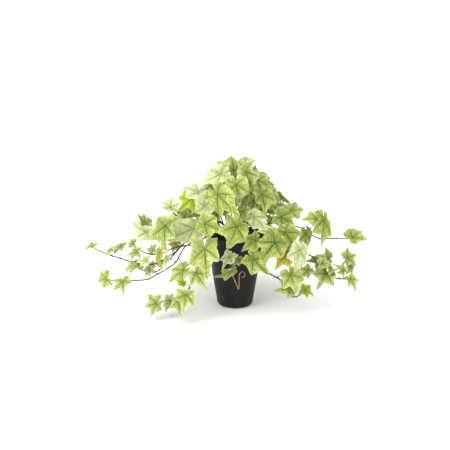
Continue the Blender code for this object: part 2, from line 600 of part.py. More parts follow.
def blade_keep(frame, owner):
    """A thick slab round the blade, for keeping other pieces clear of it."""
    rim = frame.rim
    count = len(rim)
    verts, faces = [], []
    for lift in (0.45, -0.45):
        for angle, r in rim:
            w = math.radians(angle)
            r = r + 0.6 / frame.length
            verts.append(frame.point(r * math.cos(w), r * math.sin(w), lift))
    verts += [frame.point(0, 0, 0.9), frame.point(0, 0, -1.0)]
    for i in range(count):
        n = (i + 1) % count
        faces += [(2 * count, i, n), (2 * count + 1, count + n, count + i), (i, count + i, count + n, n)]
    return Keep(verts, faces, owner)


def stalk_keep(points, owner, skip):
    lead = (points[1] - points[0]).normalized()
    tail = (points[-1] - points[-2]).normalized()
    run = [points[0] + lead * skip] + points[1:-1] + [points[-1] - tail * 1.3]
    return Keep(*tube_mesh(run, [STALK_R + CLEAR] * len(run), 5), owner)


def pot_keep():
    """The pot's surface with the soil's top, a little swollen."""
    rows = [(6, 0.6), (27, -0.6), (34.5, 2.0), (BASE_R + 0.5, 7.0), (RIM_R + 1.0, POT_H - RIM_BAND_H - 0.8),
            (RIM_R + RIM_BAND_OUT + 0.8, POT_H - RIM_BAND_H - 1.0), (RIM_R + RIM_BAND_OUT + 0.8, POT_H + 0.8),
            (RIM_R - WALL - 0.8, POT_H + 0.8), (RIM_R - WALL - 1.6, SOIL_TOP + 1.0), (6, SOIL_TOP + 1.0)]
    sides = 40
    verts, faces = [], []
    for r, z in rows:
        for s in range(sides):
            w = 2 * math.pi * s / sides
            verts.append(Vector((r * math.cos(w), r * math.sin(w), z)))
    for i in range(len(rows) - 1):
        for s in range(sides):
            n = (s + 1) % sides
            faces.append((i * sides + s, i * sides + n, (i + 1) * sides + n, (i + 1) * sides + s))
    return Keep(verts, faces, "pot")


def lay_out(vines):
    """Finds a clear route for every stem, then a clear place for every leaf."""
    kept = [pot_keep()]
    for vine in vines:
        vine.choice = None
        for k in range(60):
            line = vine.line(k)
            steps = ring_steps(line, [])
            whole = stem_keep(line, steps, CLEAR, vine.name)
            upper = stem_keep(line, steps, CLEAR, vine.name, SOIL_TOP + 4)
            if min(p.z for p in line) < FLOOR_GAP + 2:
                continue
            if any(keep.hits(upper if keep.owner == "pot" else whole) for keep in kept):
                continue
            vine.choice = k
            break
        if vine.choice is None:
            print("NO ROUTE", vine.name)
            vine.choice = 0
            line = vine.line(0)
            steps = ring_steps(line, [])
            whole = stem_keep(line, steps, CLEAR, vine.name)
        vine.path = line
        kept.append(whole)
    jobs = []
    for vine in vines:
        first = [leaf.frame(0, vine, vine.path) for leaf in vine.leaves]
        for leaf, s in zip(vine.leaves, stalk_nodes(vine, vine.path, first)):
            leaf.s = s
            leaf.place = None
            jobs.append((leaf.rank, vine.index, leaf, vine))
    jobs.sort(key=lambda job: job[:2])
    for _, _, leaf, vine in jobs:
        back = isinstance(leaf, BackLeaf)
        for j in range(leaf.tries):
            frame = leaf.frame(j, vine, vine.path)
            gap = (frame.joint - line_at(vine.path, leaf.s)).length
            if gap < 5.5 or gap > (58 if back else 86):
                continue
            spots = [frame.point(r * math.cos(math.radians(a)), r * math.sin(math.radians(a)))
                     for a, r in frame.rim]
            if min(p.z for p in spots) < FLOOR_GAP:
                continue
            if back:
                marks = [on_sheet(p) for p in spots + [frame.joint]]
                if not all(inside(u, v, BACK_FIELD) for u, v in marks):
                    continue
                mids = marks + [((u + u2) / 2, (v + v2) / 2) for (u, v) in marks for (u2, v2) in marks[-1:]]
                if any(u0 < u < u1 and v0 < v < v1 for u, v in mids for u0, v0, u1, v1 in WINDOWS):
                    continue
            points = stalk_curve(vine.path, leaf.s, frame, stalk_count(vine.path, leaf.s, frame))
            blade = blade_keep(frame, leaf.key)
            stalk = stalk_keep(points, leaf.key, 3.0)
            late = stalk_keep(points, leaf.key, min(5.5, 0.6 * gap))
            bad = False
            for keep in kept:
                if keep.hits(blade) or keep.hits(late if keep.owner == vine.name else stalk):
                    bad = True
                    break
            if bad:
                continue
            thin = Keep(*tube_mesh([points[0]] + points[1:-1] + [points[-1] * 0.6 + points[-2] * 0.4], [STALK_R] * len(points), 4), "")
            lens = Keep(*blade_lens(frame), "")
            if lens.hits(thin):
                continue
            leaf.place, leaf.points, leaf.choice = frame, points, j
            kept += [blade, stalk]
            break
    for vine in vines:
        last = max(leaf.s for leaf in vine.leaves if leaf.place)
        vine.end = min(STEM_STEP * (len(vine.path) - 1), last + 3.2)
    return vines


def blade_lens(frame):
    rim = frame.rim
    verts = [frame.point(r * math.cos(math.radians(a)), r * math.sin(math.radians(a))) for a, r in rim]
    verts += [frame.joint + frame.n * 0.4, frame.joint - frame.n * 0.45]
    count = len(rim)
    faces = []
    for i in range(count):
        n = (i + 1) % count
        faces += [(count, i, n), (count + 1, n, i)]
    return verts, faces


def vine_mesh(vine):
    """One closed skin over the stem, the leaf stalks and the blades."""
    line = vine.path
    total = STEM_STEP * (len(line) - 1)
    leaves = sorted((leaf for leaf in vine.leaves if leaf.place), key=lambda leaf: leaf.s)
    steps = ring_steps(line, [leaf.s for leaf in leaves], vine.end)
    verts, faces, rings = [], [], []
    normal = None
    for s in steps:
        t = line_dir(line, s)
        if normal is None:
            normal = t.orthogonal()
        normal = (normal - t * normal.dot(t)).normalized()
        side = t.cross(normal)
        centre = line_at(line, s)
        ring = []
        for i in range(RING_SIDES):
            w = 2 * math.pi * i / RING_SIDES
            ring.append(len(verts))
            verts.append(centre + (normal * math.cos(w) + side * math.sin(w)) * stem_radius(s, total))
        rings.append(ring)
    doors = {}
    for leaf in leaves:
        index = min(range(len(steps) - 1), key=lambda i: abs(0.5 * (steps[i] + steps[i + 1]) - leaf.s) + (0 if abs(steps[i + 1] - steps[i] - 2.4) < 0.05 else 9))
        lead = (leaf.points[1] - leaf.points[0]).normalized()
        centre = line_at(line, leaf.s)

        def facing(f):
            mid = (verts[rings[index][f]] + verts[rings[index][(f + 1) % RING_SIDES]] + verts[rings[index + 1][f]] + verts[rings[index + 1][(f + 1) % RING_SIDES]]) * 0.25
            return (mid - centre).normalized().dot(lead)

        doors[(index, max(range(RING_SIDES), key=facing))] = leaf
    faces.append(tuple(reversed(rings[0])))
    faces.append(tuple(rings[-1]))
    for i in range(len(rings) - 1):
        for f in range(RING_SIDES):
            n = (f + 1) % RING_SIDES
            quad = (rings[i][f], rings[i][n], rings[i + 1][n], rings[i + 1][f])
            leaf = doors.get((i, f))
            if leaf is None:
                faces.append(quad)
            else:
                add_leaf(verts, faces, quad, leaf)
    return verts, faces


def add_leaf(verts, faces, quad, leaf):
    """Grows a stalk out of the four corners of a stem face and ends it in a blade."""
    frame, points = leaf.place, leaf.points
    loop = list(quad)
    centre = sum((verts[i] for i in quad), Vector()) * 0.25
    lead = (points[1] - points[0]).normalized()
    mark = verts[quad[0]] - centre
    for i in range(1, len(points)):
        last = i == len(points) - 1
        if last:
            t = frame.n
        else:
            t = (points[i + 1] - points[i - 1]).normalized()
        mark = (mark - t * mark.dot(t)).normalized()
        side = t.cross(mark)
        ring = []
        for c in range(4):
            w = 0.5 * math.pi * c
            ring.append(len(verts))
            verts.append(points[i] + (mark * math.cos(w) + side * math.sin(w)) * STALK_R)
        for c in range(4):
            n = (c + 1) % 4
            faces.append((loop[c], loop[n], ring[n], ring[c]))
        loop = ring
    turn = math.degrees(math.atan2(mark.dot(frame.b), mark.dot(frame.a)))
    top = len(verts)
    verts.append(frame.joint + frame.n * 0.4)
    outline = frame.rim
    rim, near = [], []
    for angle, r in outline:
        w = math.radians(angle)
        rim.append(len(verts))
        verts.append(frame.point(r * math.cos(w), r * math.sin(w)))
        near.append(round(((angle % 360) - turn) / 90))
    rim.append(rim[0])
    near.append(near[0] + 4)
    for i in range(len(outline)):
        faces.append((top, rim[i], rim[i + 1]))
        faces.append((rim[i + 1], rim[i], loop[near[i] % 4]))
        for k in range(near[i], near[i + 1]):
            faces.append((rim[i + 1], loop[k % 4], loop[(k + 1) % 4]))


# -------------------------------------------------------------------- making it
for old in list(bpy.data.objects):
    bpy.data.objects.remove(old, do_unlink=True)


def paint(name, colour, roughness, metallic=0.0):
    made = bpy.data.materials.new(name)
    made.use_nodes = True
    shader = made.node_tree.nodes["Principled BSDF"]
    shader.inputs["Base Color"].default_value = (*colour, 1.0)
    shader.inputs["Roughness"].default_value = roughness
    shader.inputs["Metallic"].default_value = metallic
    made.diffuse_color = (*colour, 1.0)
    return made


def make(name, verts, faces, material, smooth=False):
    mesh = bpy.data.meshes.new(name)
    mesh.from_pydata([tuple(v * 0.001) for v in verts], [], faces)
    mesh.validate()
    mesh.materials.append(material)
    if smooth:
        mesh.shade_smooth()
        mesh.set_sharp_from_angle(angle=math.radians(35))
    made = bpy.data.objects.new(name, mesh)
    bpy.context.scene.collection.objects.link(made)
    return made


def turned(rows, sides):
    """A solid turned about Z from rows of radius and height; a radius of 0 closes it at the axis."""
    verts, faces, rings = [], [], []
    for r, z in rows:
        if r == 0:
            rings.append([len(verts)])
            verts.append(Vector((0, 0, z)))
            continue
        ring = []
        for s in range(sides):
            w = 2 * math.pi * s / sides
            ring.append(len(verts))
            verts.append(Vector((r * math.cos(w), r * math.sin(w), z)))
        rings.append(ring)
    for a, b in zip(rings, rings[1:]):
        for s in range(sides):
            n = (s + 1) % sides
            if len(a) == 1:
                faces.append((a[0], b[n], b[s]))
            elif len(b) == 1:
                faces.append((a[s], a[n], b[0]))
            else:
                faces.append((a[s], a[n], b[n], b[s]))
    return verts, faces


def cutter(name, verts, faces):
    made = make(name, verts, faces, plastic)
    made.hide_render = True
    made.display_type = "WIRE"
    return made


def cut(target, tool):
    step = target.modifiers.new("cut", "BOOLEAN")
    step.operation = "DIFFERENCE"
    step.solver = "EXACT"
    step.use_self = True
    step.object = tool


plastic = paint("pot_plastic", (0.022, 0.022, 0.023), 0.45)
peat = paint("potting_soil", (0.030, 0.020, 0.013), 0.95)
dry = paint("dry_rootlet", (0.36, 0.25, 0.15), 0.8)
greens = [paint(f"ivy_{i}", colour, 0.5) for i, colour in enumerate(
    [(0.42, 0.50, 0.16), (0.50, 0.56, 0.26), (0.30, 0.42, 0.10), (0.46, 0.50, 0.09)])]

# The pot: foot rounded under a straight taper, a thicker band at the rim.
foot = []
for i in range(5):
    w = math.radians(-90 + 82 * i / 4)
    foot.append((BASE_R - FOOT_ROUND + 0.6 + FOOT_ROUND * math.cos(w), FOOT_ROUND + FOOT_ROUND * math.sin(w)))
outer_band = RIM_R + RIM_BAND_OUT
rows = ([(0, 0)] + foot + [(pot_outer(POT_H - RIM_BAND_H - 0.6), POT_H - RIM_BAND_H - 0.6),
        (outer_band - 0.3, POT_H - RIM_BAND_H), (outer_band, POT_H - RIM_BAND_H + 0.5),
        (outer_band, POT_H - 0.8), (outer_band - 0.8, POT_H), (RIM_R - WALL + 0.3, POT_H), (RIM_R - WALL - 0.3, POT_H - 0.8),
        (pot_outer(12) - WALL, 12), (BASE_R - FOOT_ROUND + 1.5, 2.6), (0, 2.6)])
verts, faces = turned(rows, 48)
pot = make("pot", verts, faces, plastic, True)
tools_v, tools_f = [], []
for k in range(6):
    w = math.radians(-70 + 60 * k)
    ax = Vector((math.cos(w), math.sin(w), 0))
    ay = Vector((-math.sin(w), math.cos(w), 0))
    base = len(tools_v)
    for r, t, z in ((22.5, -3, -2), (34, -3, -2), (34, 3, -2), (22.5, 3, -2), (22.5, -3, 5), (34, -3, 5), (34, 3, 5), (22.5, 3, 5)):
        tools_v.append(ax * r + ay * t + Vector((0, 0, z)))
    tools_f += [tuple(base + i for i in f) for f in ((0, 3, 2, 1), (4, 5, 6, 7), (0, 1, 5, 4), (1, 2, 6, 5), (2, 3, 7, 6), (3, 0, 4, 7))]
cut(pot, cutter("drain_cutter", tools_v, tools_f))

vines = lay_out(all_vines())

# The soil: one plug, 0.3 mm clear of the pot, with a hole for each stem.
low, gap = 3.0, 0.35
rows = [(0, low), (BASE_R - FOOT_ROUND + 0.8, low), (pot_outer(12) - WALL - gap, 12.2),
        (pot_outer(SOIL_TOP - 3) - WALL - gap, SOIL_TOP - 3.0), (pot_outer(SOIL_TOP) - WALL - gap - 1.2, SOIL_TOP - 0.6), (48, SOIL_TOP), (0, SOIL_TOP)]
verts, faces = turned(rows, 32)
soil = make("soil", verts, faces, peat)
tools_v, tools_f = [], []
for vine in vines:
    foot_at = vine.path[0]
    top_at = line_at(vine.path, STEM_DEPTH + 6)
    run = [foot_at - Vector((0, 0, 0.7)), line_at(vine.path, STEM_DEPTH * 0.6), line_at(vine.path, STEM_DEPTH + 1.0), top_at]
    v, f = tube_mesh(run, [STEM_R_BASE + 0.55] * 4, 7)
    base = len(tools_v)
    tools_v += v
    tools_f += [tuple(base + i for i in face) for face in f]
cut(soil, cutter("stem_hole_cutter", tools_v, tools_f))

placed = 0
for number, vine in enumerate(vines):
    verts, faces = vine_mesh(vine)
    make(vine.name, verts, faces, greens[number % 4])
    good = [leaf for leaf in vine.leaves if leaf.place]
    placed += len(good)
    lost = [leaf.key for leaf in vine.leaves if not leaf.place]
    print(vine.name, "route", vine.choice, "leaves", len(good), "choices", [leaf.choice for leaf in good], "lost", lost)
print("leaves placed", placed)

# A dry brown rootlet that hangs from the front shoot: down, back up and once round.
way = [at(232.4, 271.2, 73), at(233.0, 276.0, 71.5), at(235.2, 281.5, 68), at(237.4, 286.5, 65), at(238.5, 289.5, 63),
       at(239.1, 286.0, 64), at(239.0, 279.5, 67), at(239.6, 274.2, 70), at(241.4, 271.8, 72), at(244.0, 272.4, 73),
       at(245.0, 274.8, 73.5), at(243.6, 277.2, 73), at(241.6, 277.0, 74.5)]
line = smooth_line(way, 3.5)
verts, faces = tube_mesh(line, [0.75 - 0.3 * i / len(line) for i in range(len(line))], 5)
make("dry_rootlet", verts, faces, dry, True)
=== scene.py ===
"""Potted ivy: the fine meshes and the finishes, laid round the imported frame.

The vines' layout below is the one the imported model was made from. Each stem's
route and each blade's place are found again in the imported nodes, so a fine leaf
sits exactly where its packed leaf does."""
import json
import math
import random

import bmesh
import bpy
import numpy as np
from mathutils import Matrix, Vector, noise
from mathutils.kdtree import KDTree

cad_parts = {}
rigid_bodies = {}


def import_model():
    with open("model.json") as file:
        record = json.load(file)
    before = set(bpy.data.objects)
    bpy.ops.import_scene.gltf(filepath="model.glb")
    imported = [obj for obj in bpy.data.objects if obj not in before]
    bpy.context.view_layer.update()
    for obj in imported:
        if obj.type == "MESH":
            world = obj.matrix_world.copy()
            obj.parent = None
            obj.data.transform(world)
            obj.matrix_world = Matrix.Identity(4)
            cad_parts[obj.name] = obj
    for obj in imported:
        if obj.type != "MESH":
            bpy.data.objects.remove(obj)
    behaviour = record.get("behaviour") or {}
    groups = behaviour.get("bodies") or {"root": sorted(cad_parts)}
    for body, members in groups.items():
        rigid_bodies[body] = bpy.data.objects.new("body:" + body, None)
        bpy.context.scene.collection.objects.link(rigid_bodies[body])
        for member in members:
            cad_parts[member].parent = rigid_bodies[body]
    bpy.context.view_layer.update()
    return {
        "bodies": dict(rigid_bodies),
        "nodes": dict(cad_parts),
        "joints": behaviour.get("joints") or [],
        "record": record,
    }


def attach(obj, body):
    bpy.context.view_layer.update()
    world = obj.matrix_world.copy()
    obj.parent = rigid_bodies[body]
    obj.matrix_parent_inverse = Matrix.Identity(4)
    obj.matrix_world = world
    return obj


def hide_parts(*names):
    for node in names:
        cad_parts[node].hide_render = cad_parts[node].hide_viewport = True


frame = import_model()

# ----------------------------------------------------------------- dimensions (mm)
POT_H = 150.0            # pot height
RIM_R = 60.0             # outer radius at the rim
BASE_R = 36.5            # outer radius where the wall meets the rounded foot
WALL = 2.0               # wall thickness
RIM_BAND_H = 8.0         # height of the thickened rim band
RIM_BAND_OUT = 1.2       # how far the band stands proud of the wall
FOOT_ROUND = 9.0         # radius of the rounded foot edge
SOIL_TOP = 138.0         # level of the soil
STEM_DEPTH = 13.0        # how deep a stem sits in the soil
STEM_R_BASE = 1.5        # stem radius at the soil
STEM_R_TIP = 1.1         # stem radius at the growing end
STALK_R = 0.62           # leaf stalk radius
FLOOR_GAP = 2.0          # least height of any leaf above the surface below the pot

# The plant is laid out on a front sheet: u runs to the right and v downwards in
# squares of about 2 mm, seen from an eye 2161 mm away and 15.5 degrees above the
# horizontal, and d is the distance in mm that a point stands in front of the
# pot's axis.
EYE_DIST = 2161.0
EYE_RISE = math.radians(15.5)
SPREAD = 1062.5
CENTRE = 225.0
AIM = Vector((-20.7, 0.0, 168.5))
LOOK = Vector((0.0, math.cos(EYE_RISE), -math.sin(EYE_RISE)))
LIFT = Vector((0.0, math.sin(EYE_RISE), math.cos(EYE_RISE)))
EYE = AIM - LOOK * EYE_DIST


def at(u, v, d):
    """The point (mm) at u, v on the front sheet that stands d in front of the axis."""
    ray = Vector(((u - CENTRE) / SPREAD, 0.0, 0.0)) + LIFT * ((CENTRE - v) / SPREAD) + LOOK
    return EYE + ray * ((-d - EYE.y) / ray.y)


def on_sheet(p):
    rel = p - EYE
    depth = rel.dot(LOOK)
    return CENTRE + SPREAD * rel.x / depth, CENTRE - SPREAD * rel.dot(LIFT) / depth


def pot_outer(z):
    """Outer radius of the pot's wall at height z."""
    t = max(0.0, min(1.0, z / POT_H))
    return BASE_R + (RIM_R - BASE_R) * t


# Places where the plant stays open to view from the front: u0, v0, u1, v1.
WINDOWS = [
    (161, 248, 187, 263), (192, 214, 203, 224), (224, 216, 231, 223),
    (268, 226, 275, 231), (294, 217, 301, 246), (309, 223, 319, 236),
    (186, 262, 199, 267), (269, 271, 283, 278), (203, 232, 209, 246),
    (176, 198, 187, 204),
]

# Each vine: its way points u, v, d on the front sheet, then its leaves. A leaf is
# u, v where the stalk meets the blade, u, v of its tip, d at the stalk, how far the
# tip stands further forward, its roll about the midrib in degrees, how full its
# outline is (0 star, 1 full) and its tint: n variegated, p pale, d deep green,
# y yellowed, b bright.
FRONT_VINES = [
    ("vine_left_low",
     [(206, 236, 60), (195.3, 247.3, 70), (187.5, 244.5, 66), (180.8, 253.3, 62), (175.7, 262.4, 58),
      (168.6, 267.6, 54), (154.8, 275.7, 48), (148, 279.3, 45), (131, 280.4, 38), (118.4, 280.4, 32), (109, 280.2, 28)],
     [(106, 278.5, 94.5, 282, 28, 6, 0, .6, "n", 1.0), (123, 281.0, 122.5, 294.5, 38, 6, 5, .4, "n", .95),
      (149.5, 269.5, 142, 277.5, 52, 4, 20, .5, "p", .95), (167.5, 258.5, 162, 271, 60, 5, 35, .6, "p"),
      (183.4, 270.0, 166, 281.8, 78, 8, 12, .6, "n")]),
    ("vine_left_tip",
     [(202, 229, 20), (188, 240, 24), (170, 256, 30), (151.5, 264.5, 36), (140, 262.5, 38), (130.6, 261.5, 37),
      (121, 258.5, 36), (109.7, 255.1, 33), (103, 252.3, 31), (98, 250.5, 30), (94.5, 247.8, 30)],
     [(92.3, 246, 80, 245.5, 30, 5, 55, .1, "n"), (111, 250, 102.5, 257, 37, 6, 10, .6, "n", 1.0),
      (121, 246.2, 110, 246.0, 34, 8, 42, .6, "n", 1.0), (137, 251.5, 124.5, 253.5, 42, 4, 15, .6, "n", .9),
      (139, 264.5, 122, 266.8, 50, 2, 42, .6, "n", .9), (146.5, 260.5, 135, 261, 48, 5, 25, .5, "p", .9)]),
    ("vine_left_mid",
     [(204, 226, 20), (195, 238, 22), (187.6, 245.3, 20), (180, 246.3, 18), (168.8, 249.9, 15), (160.6, 254.0, 12),
      (146.4, 253.3, 8), (139.3, 249.7, 6), (134, 246, 5)],
     [(133.5, 243, 126, 242.6, 5, 6, 30, .6, "n", 1.1), (159.6, 251, 156.8, 266.8, 32, 2, 62, .7, "y"),
      (153, 251, 149.5, 241.5, 4, -4, 15, .4, "p"), (194, 228.5, 166.5, 239.5, 50, 0, -4, .9, "p", .62),
      (198, 234, 183.5, 243, 62, 0, 10, .9, "p", .7)]),
    ("vine_left_upper",
     [(203, 219, 12), (192, 226, 15), (178, 233, 16), (165, 238, 14), (153.5, 239.2, 11), (146.8, 237.6, 9),
      (142.8, 235.6, 8), (139, 233, 7)],
     [(146, 232.5, 125.5, 224.5, 14, 2, -28, .9, "p", .60), (145.3, 223.5, 144.3, 211, 4, -2, 78, .5, "n"),
      (165.5, 225.4, 158.7, 251, 74, 0, 14, .8, "d", .9), (176, 222.5, 160, 218.5, 16, -4, 15, .7, "p"),
      (186, 219, 187, 206, 8, -5, 20, .6, "n")]),
    ("vine_shoulder_left",
     [(206, 213, 0), (193, 217, 0), (181, 217.8, 0), (177, 216.2, 0), (173.4, 213.2, 0), (171.3, 210, 0)],
     [(170.5, 207.5, 171, 196.5, 2, 6, 0, .9, "p", 1.25), (192, 198.5, 179, 211, 22, 4, 0, .5, "b", .95),
      (192, 197, 176, 196.5, -8, 0, 10, .7, "p"), (196, 213, 203, 219, 12, 4, 30, .4, "d")]),
    ("vine_crown_left",
     [(214, 214, 10), (208, 205, 12), (202, 197, 10), (199, 191, 5)],
     [(198.5, 192.5, 182.5, 184.5, 8, 0, 6, .8, "p"), (205, 206.5, 204, 188.5, 45, -2, -6, .9, "p"),
      (216, 190, 202, 179, -10, 0, 10, .8, "n"), (206, 196, 195, 189, 24, 3, -20, .6, "p"), (211, 198, 202.5, 209, 28, 3, 14, .6, "n", .8),
      (225, 168, 214, 166, -16, 0, 16, .7, "p", .8)]),
    ("vine_crown",
     [(236, 214, 0), (238, 200, -2), (240, 186, -4), (243, 174, -5)],
     [(245, 169, 246.5, 154, -6, 0, -8, .8, "n"), (234, 170.5, 216, 159.5, -8, 0, 4, .8, "n"),
      (221.5, 174, 200, 182.5, 12, 2, 0, .8, "p", .70), (246, 171.5, 251, 197, 24, 0, 48, .7, "n"),
      (236.5, 184.5, 240, 206, 52, 4, -6, .8, "n", .86), (229, 178, 222, 192, 24, 6, 10, .6, "n"),
      (244, 163, 255.5, 159, 2, 2, 14, .7, "p"), (241, 177, 231, 188, 36, 4, 12, .7, "p"), (250, 188, 246, 203, 14, 4, -14, .7, "d", .8)]),
    ("vine_crown_right",
     [(252, 214, 0), (257, 203, -4), (259, 194, -8), (258.5, 187.5, -8)],
     [(257, 180, 276, 187.3, 2, 0, -10, .7, "n"), (262, 194, 268, 212.5, 42, 4, 10, .7, "d"),
      (269, 194.5, 283.5, 200.8, 10, 0, -6, .8, "n"), (264, 184, 274, 194, 6, 0, 20, .6, "d"), (252, 174, 257, 164, -12, 0, 10, .7, "n"),
      (254, 187, 250, 205, 26, 2, 30, .6, "n"), (254, 201, 251, 214.5, 24, 2, 8, .7, "n", .8)]),
    ("vine_right_upper",
     [(263, 226, 8), (279, 229.2, 14), (291, 225.8, 16), (300, 227.5, 17), (307.8, 231.7, 16), (320, 239, 12),
      (330.7, 238.4, 8), (343, 238.6, 4), (350, 238.2, 2)],
     [(352.5, 237.3, 363.5, 228, 1, 0, -12, .8, "n", .95), (324, 219.5, 325.5, 243.8, 26, 4, -24, .95, "d", .50),
      (317, 219, 302, 218, 30, 0, 12, .8, "n", .8), (290, 211.5, 305, 208.5, 6, 0, -5, .9, "n", .74),
      (306, 233.5, 307.5, 252, 28, 4, 6, .7, "d")]),
    ("vine_right_face",
     [(257, 222, 28), (266, 224, 44), (274, 223, 50)],
     [(280.3, 216.8, 297, 224, 58, 2, 4, .9, "d"), (254, 217, 268.5, 229.5, 56, 4, 6, .9, "p"),
      (243.5, 210.5, 236, 223.5, 62, 6, -4, .8, "d"), (276, 208, 268, 200, 34, -4, 12, .6, "n")]),
    ("vine_right_front",
     [(257, 240, 76), (263, 258, 86), (268.8, 273.4, 88), (274, 276, 88), (280.2, 279.5, 87), (282.5, 284.9, 86),
      (285.6, 291.8, 85), (291, 296.7, 85), (297.8, 296.4, 84), (301.5, 293.3, 84)],
     [(303.8, 289.8, 315.5, 294.5, 85, 3, -6, .5, "y", .95), (290.5, 288.3, 277, 290.2, 95, 4, 8, .5, "n", .9),
      (290.4, 274.5, 298.5, 291.5, 104, 0, 0, .8, "n"), (287, 251.5, 276, 269.3, 112, 0, 8, .6, "y"),
      (299.5, 250, 296, 272.5, 116, 0, -4, .9, "p")]),
    ("vine_right_low",
     [(264, 236, 46), (286, 250, 54), (300, 266, 58), (310, 270.7, 58), (316.2, 272.3, 58), (333, 277.2, 54),
      (339.2, 278.8, 52), (346.8, 279.2, 50)],
     [(350.2, 278.6, 358.7, 289.8, 50, 3, -8, .5, "n", .95), (326, 273.5, 318.7, 287.8, 66, 4, 4, .5, "n", .95),
      (308.5, 269.5, 299, 277.5, 68, 3, 10, .6, "n"), (318, 261.5, 308.5, 259, 60, 4, 20, .4, "d"),
      (343.5, 271, 336.5, 263, 56, 4, 16, .3, "n")]),
    ("vine_right_mid",
     [(264, 232, 16), (285, 243, 24), (305, 252, 30), (318, 261, 34), (333.8, 270.6, 34), (338, 268.8, 34),
      (343, 263.5, 32), (345.6, 260.6, 32)],
     [(347.4, 258, 359, 252.3, 33, 3, -4, .4, "n", .95), (329, 258, 318, 254.3, 38, 3, 4, .5, "n", .95),
      (322, 263.5, 333, 262, 44, 5, -20, .5, "n", .95), (350.5, 266, 354, 277, 36, 3, 8, .5, "n", .95),
      (331, 268, 322, 266, 50, 6, 30, .5, "n", .95)]),
    ("vine_front_left",
     [(222, 228, 58), (212, 238, 78), (205, 252, 88), (200, 265.5, 92), (196, 274, 94), (194, 280.8, 96),
      (190.5, 286.4, 100), (187, 291.5, 102), (183, 297.5, 104), (176, 300.5, 104), (166, 300.3, 102), (159.8, 302.6, 100)],
     [(156.3, 303.5, 142.5, 306.8, 101, 3, 6, .6, "n", 1.0), (172, 301.5, 159.8, 305, 110, 2, 14, .6, "n", 1.0),
      (179, 300.5, 178.5, 314.6, 118, 0, -4, .5, "n", .95), (186, 294.5, 184.5, 310.5, 136, 0, -16, .6, "n", .95),
      (183.2, 283.5, 176.3, 279.3, 103, 5, 18, .5, "b"), (196.1, 272.7, 204.7, 289.6, 106, 4, 6, .5, "n"),
      (204.6, 248.2, 206.6, 277.5, 122, 0, 2, .6, "n")]),
    ("vine_front_centre",
     [(240, 226, 64), (244, 234, 84), (248, 246, 98), (251, 256, 104)],
     [(236.8, 226.3, 229.6, 248, 112, 0, 0, .9, "d"), (256, 240, 241.5, 250.3, 98, 0, 10, .6, "d"),
      (250.5, 253.5, 240.5, 273.5, 120, 0, -4, .9, "p"), (253, 259, 269.8, 274.8, 110, 0, 8, .7, "d")]),
    ("vine_front_small",
     [(229, 234, 64), (229, 246, 76), (230.3, 258, 80), (231.3, 266, 81)],
     [(230, 256.5, 221.3, 268.8, 88, 4, 18, .5, "p"), (240, 260, 231, 264.5, 78, 3, 12, .4, "n", .9), (231.3, 271.5, 214.3, 280.5, 86, 4, -58, .5, "n", .46),
      (236, 218.5, 231, 226.5, 78, 6, 20, .5, "y")]),
    ("vine_right_wide",
     [(256, 228, 60), (264, 234, 86), (271, 239, 104)],
     [(275.3, 242, 261.5, 262.3, 130, 0, 0, .8, "d"), (285, 232, 297.5, 248.5, 84, 2, 10, .7, "d"),
      (272, 232, 258, 230, 94, 4, 14, .6, "n"), (284, 246, 290, 262, 74, 2, -8, .6, "b")]),
    ("vine_left_face",
     [(224, 224, 44), (214, 222, 56), (208, 221, 62)],
     [(204.5, 223.5, 222, 232, 98, 0, 0, .9, "d"),
      (217, 216, 222, 207, 40, -2, -12, .5, "d")]),
    ("vine_centre",
     [(228, 214, 34), (221, 204, 44), (218, 197, 48)],
     [(217.5, 194, 234, 212.5, 76, 0, 10, .9, "d", .64), (213, 196, 214, 212, 50, 2, -20, .6, "n"),
      (224, 206, 240, 196, 30, -2, 10, .6, "n")]),
]

# Vines of the sides and the back, by rule: compass direction in degrees (0 to the
# right, 90 away from the front), reach, peak and end heights in mm, leaves.
BACK_VINES = [
    ("vine_back_crown_right", 52, 60, 256, 262, 5), ("vine_back_crown_left", 126, 62, 252, 256, 5),
    ("vine_back_shoulder_a", 20, 98, 214, 196, 5), ("vine_back_shoulder_b", 44, 116, 230, 192, 6),
    ("vine_back_shoulder_c", 74, 130, 240, 196, 6), ("vine_back_shoulder_d", 104, 134, 236, 188, 6),
    ("vine_back_shoulder_e", 134, 116, 226, 190, 6), ("vine_back_shoulder_f", 160, 100, 210, 192, 5),
    ("vine_back_trail_a", 33, 160, 192, 104, 6), ("vine_back_trail_b", 62, 184, 200, 84, 7),
    ("vine_back_trail_c", 89, 192, 204, 78, 7), ("vine_back_trail_d", 116, 186, 200, 84, 7),
    ("vine_back_trail_e", 146, 158, 192, 108, 6),
]

# Fine vines added after all the others, laid out in the same way as the front ones.
FINE_VINES = [
    ("vine_left_fine",
     [(204, 224, -8), (190, 237, -6), (177, 251, 0), (166, 263.5, 6), (157, 271.5, 10), (148, 272.2, 12),
      (140, 269.3, 13), (134.5, 267.2, 14)],
     [(131.5, 266.2, 122.5, 269.5, 15, 3, 10, .6, "n", .95), (151.5, 266.5, 146.5, 260, 12, 3, 10, .5, "p", .95),
      (160, 263, 154.5, 257.5, 10, 3, 0, .5, "n", .95), (176, 243, 171, 253, 2, 3, 0, .6, "n", .9)]),
]

STEM_STEP = 4.0                       # spacing of the worked points along a stem
BASE_RADII = (27.0, 19.0, 33.0, 12.0, 23.0)


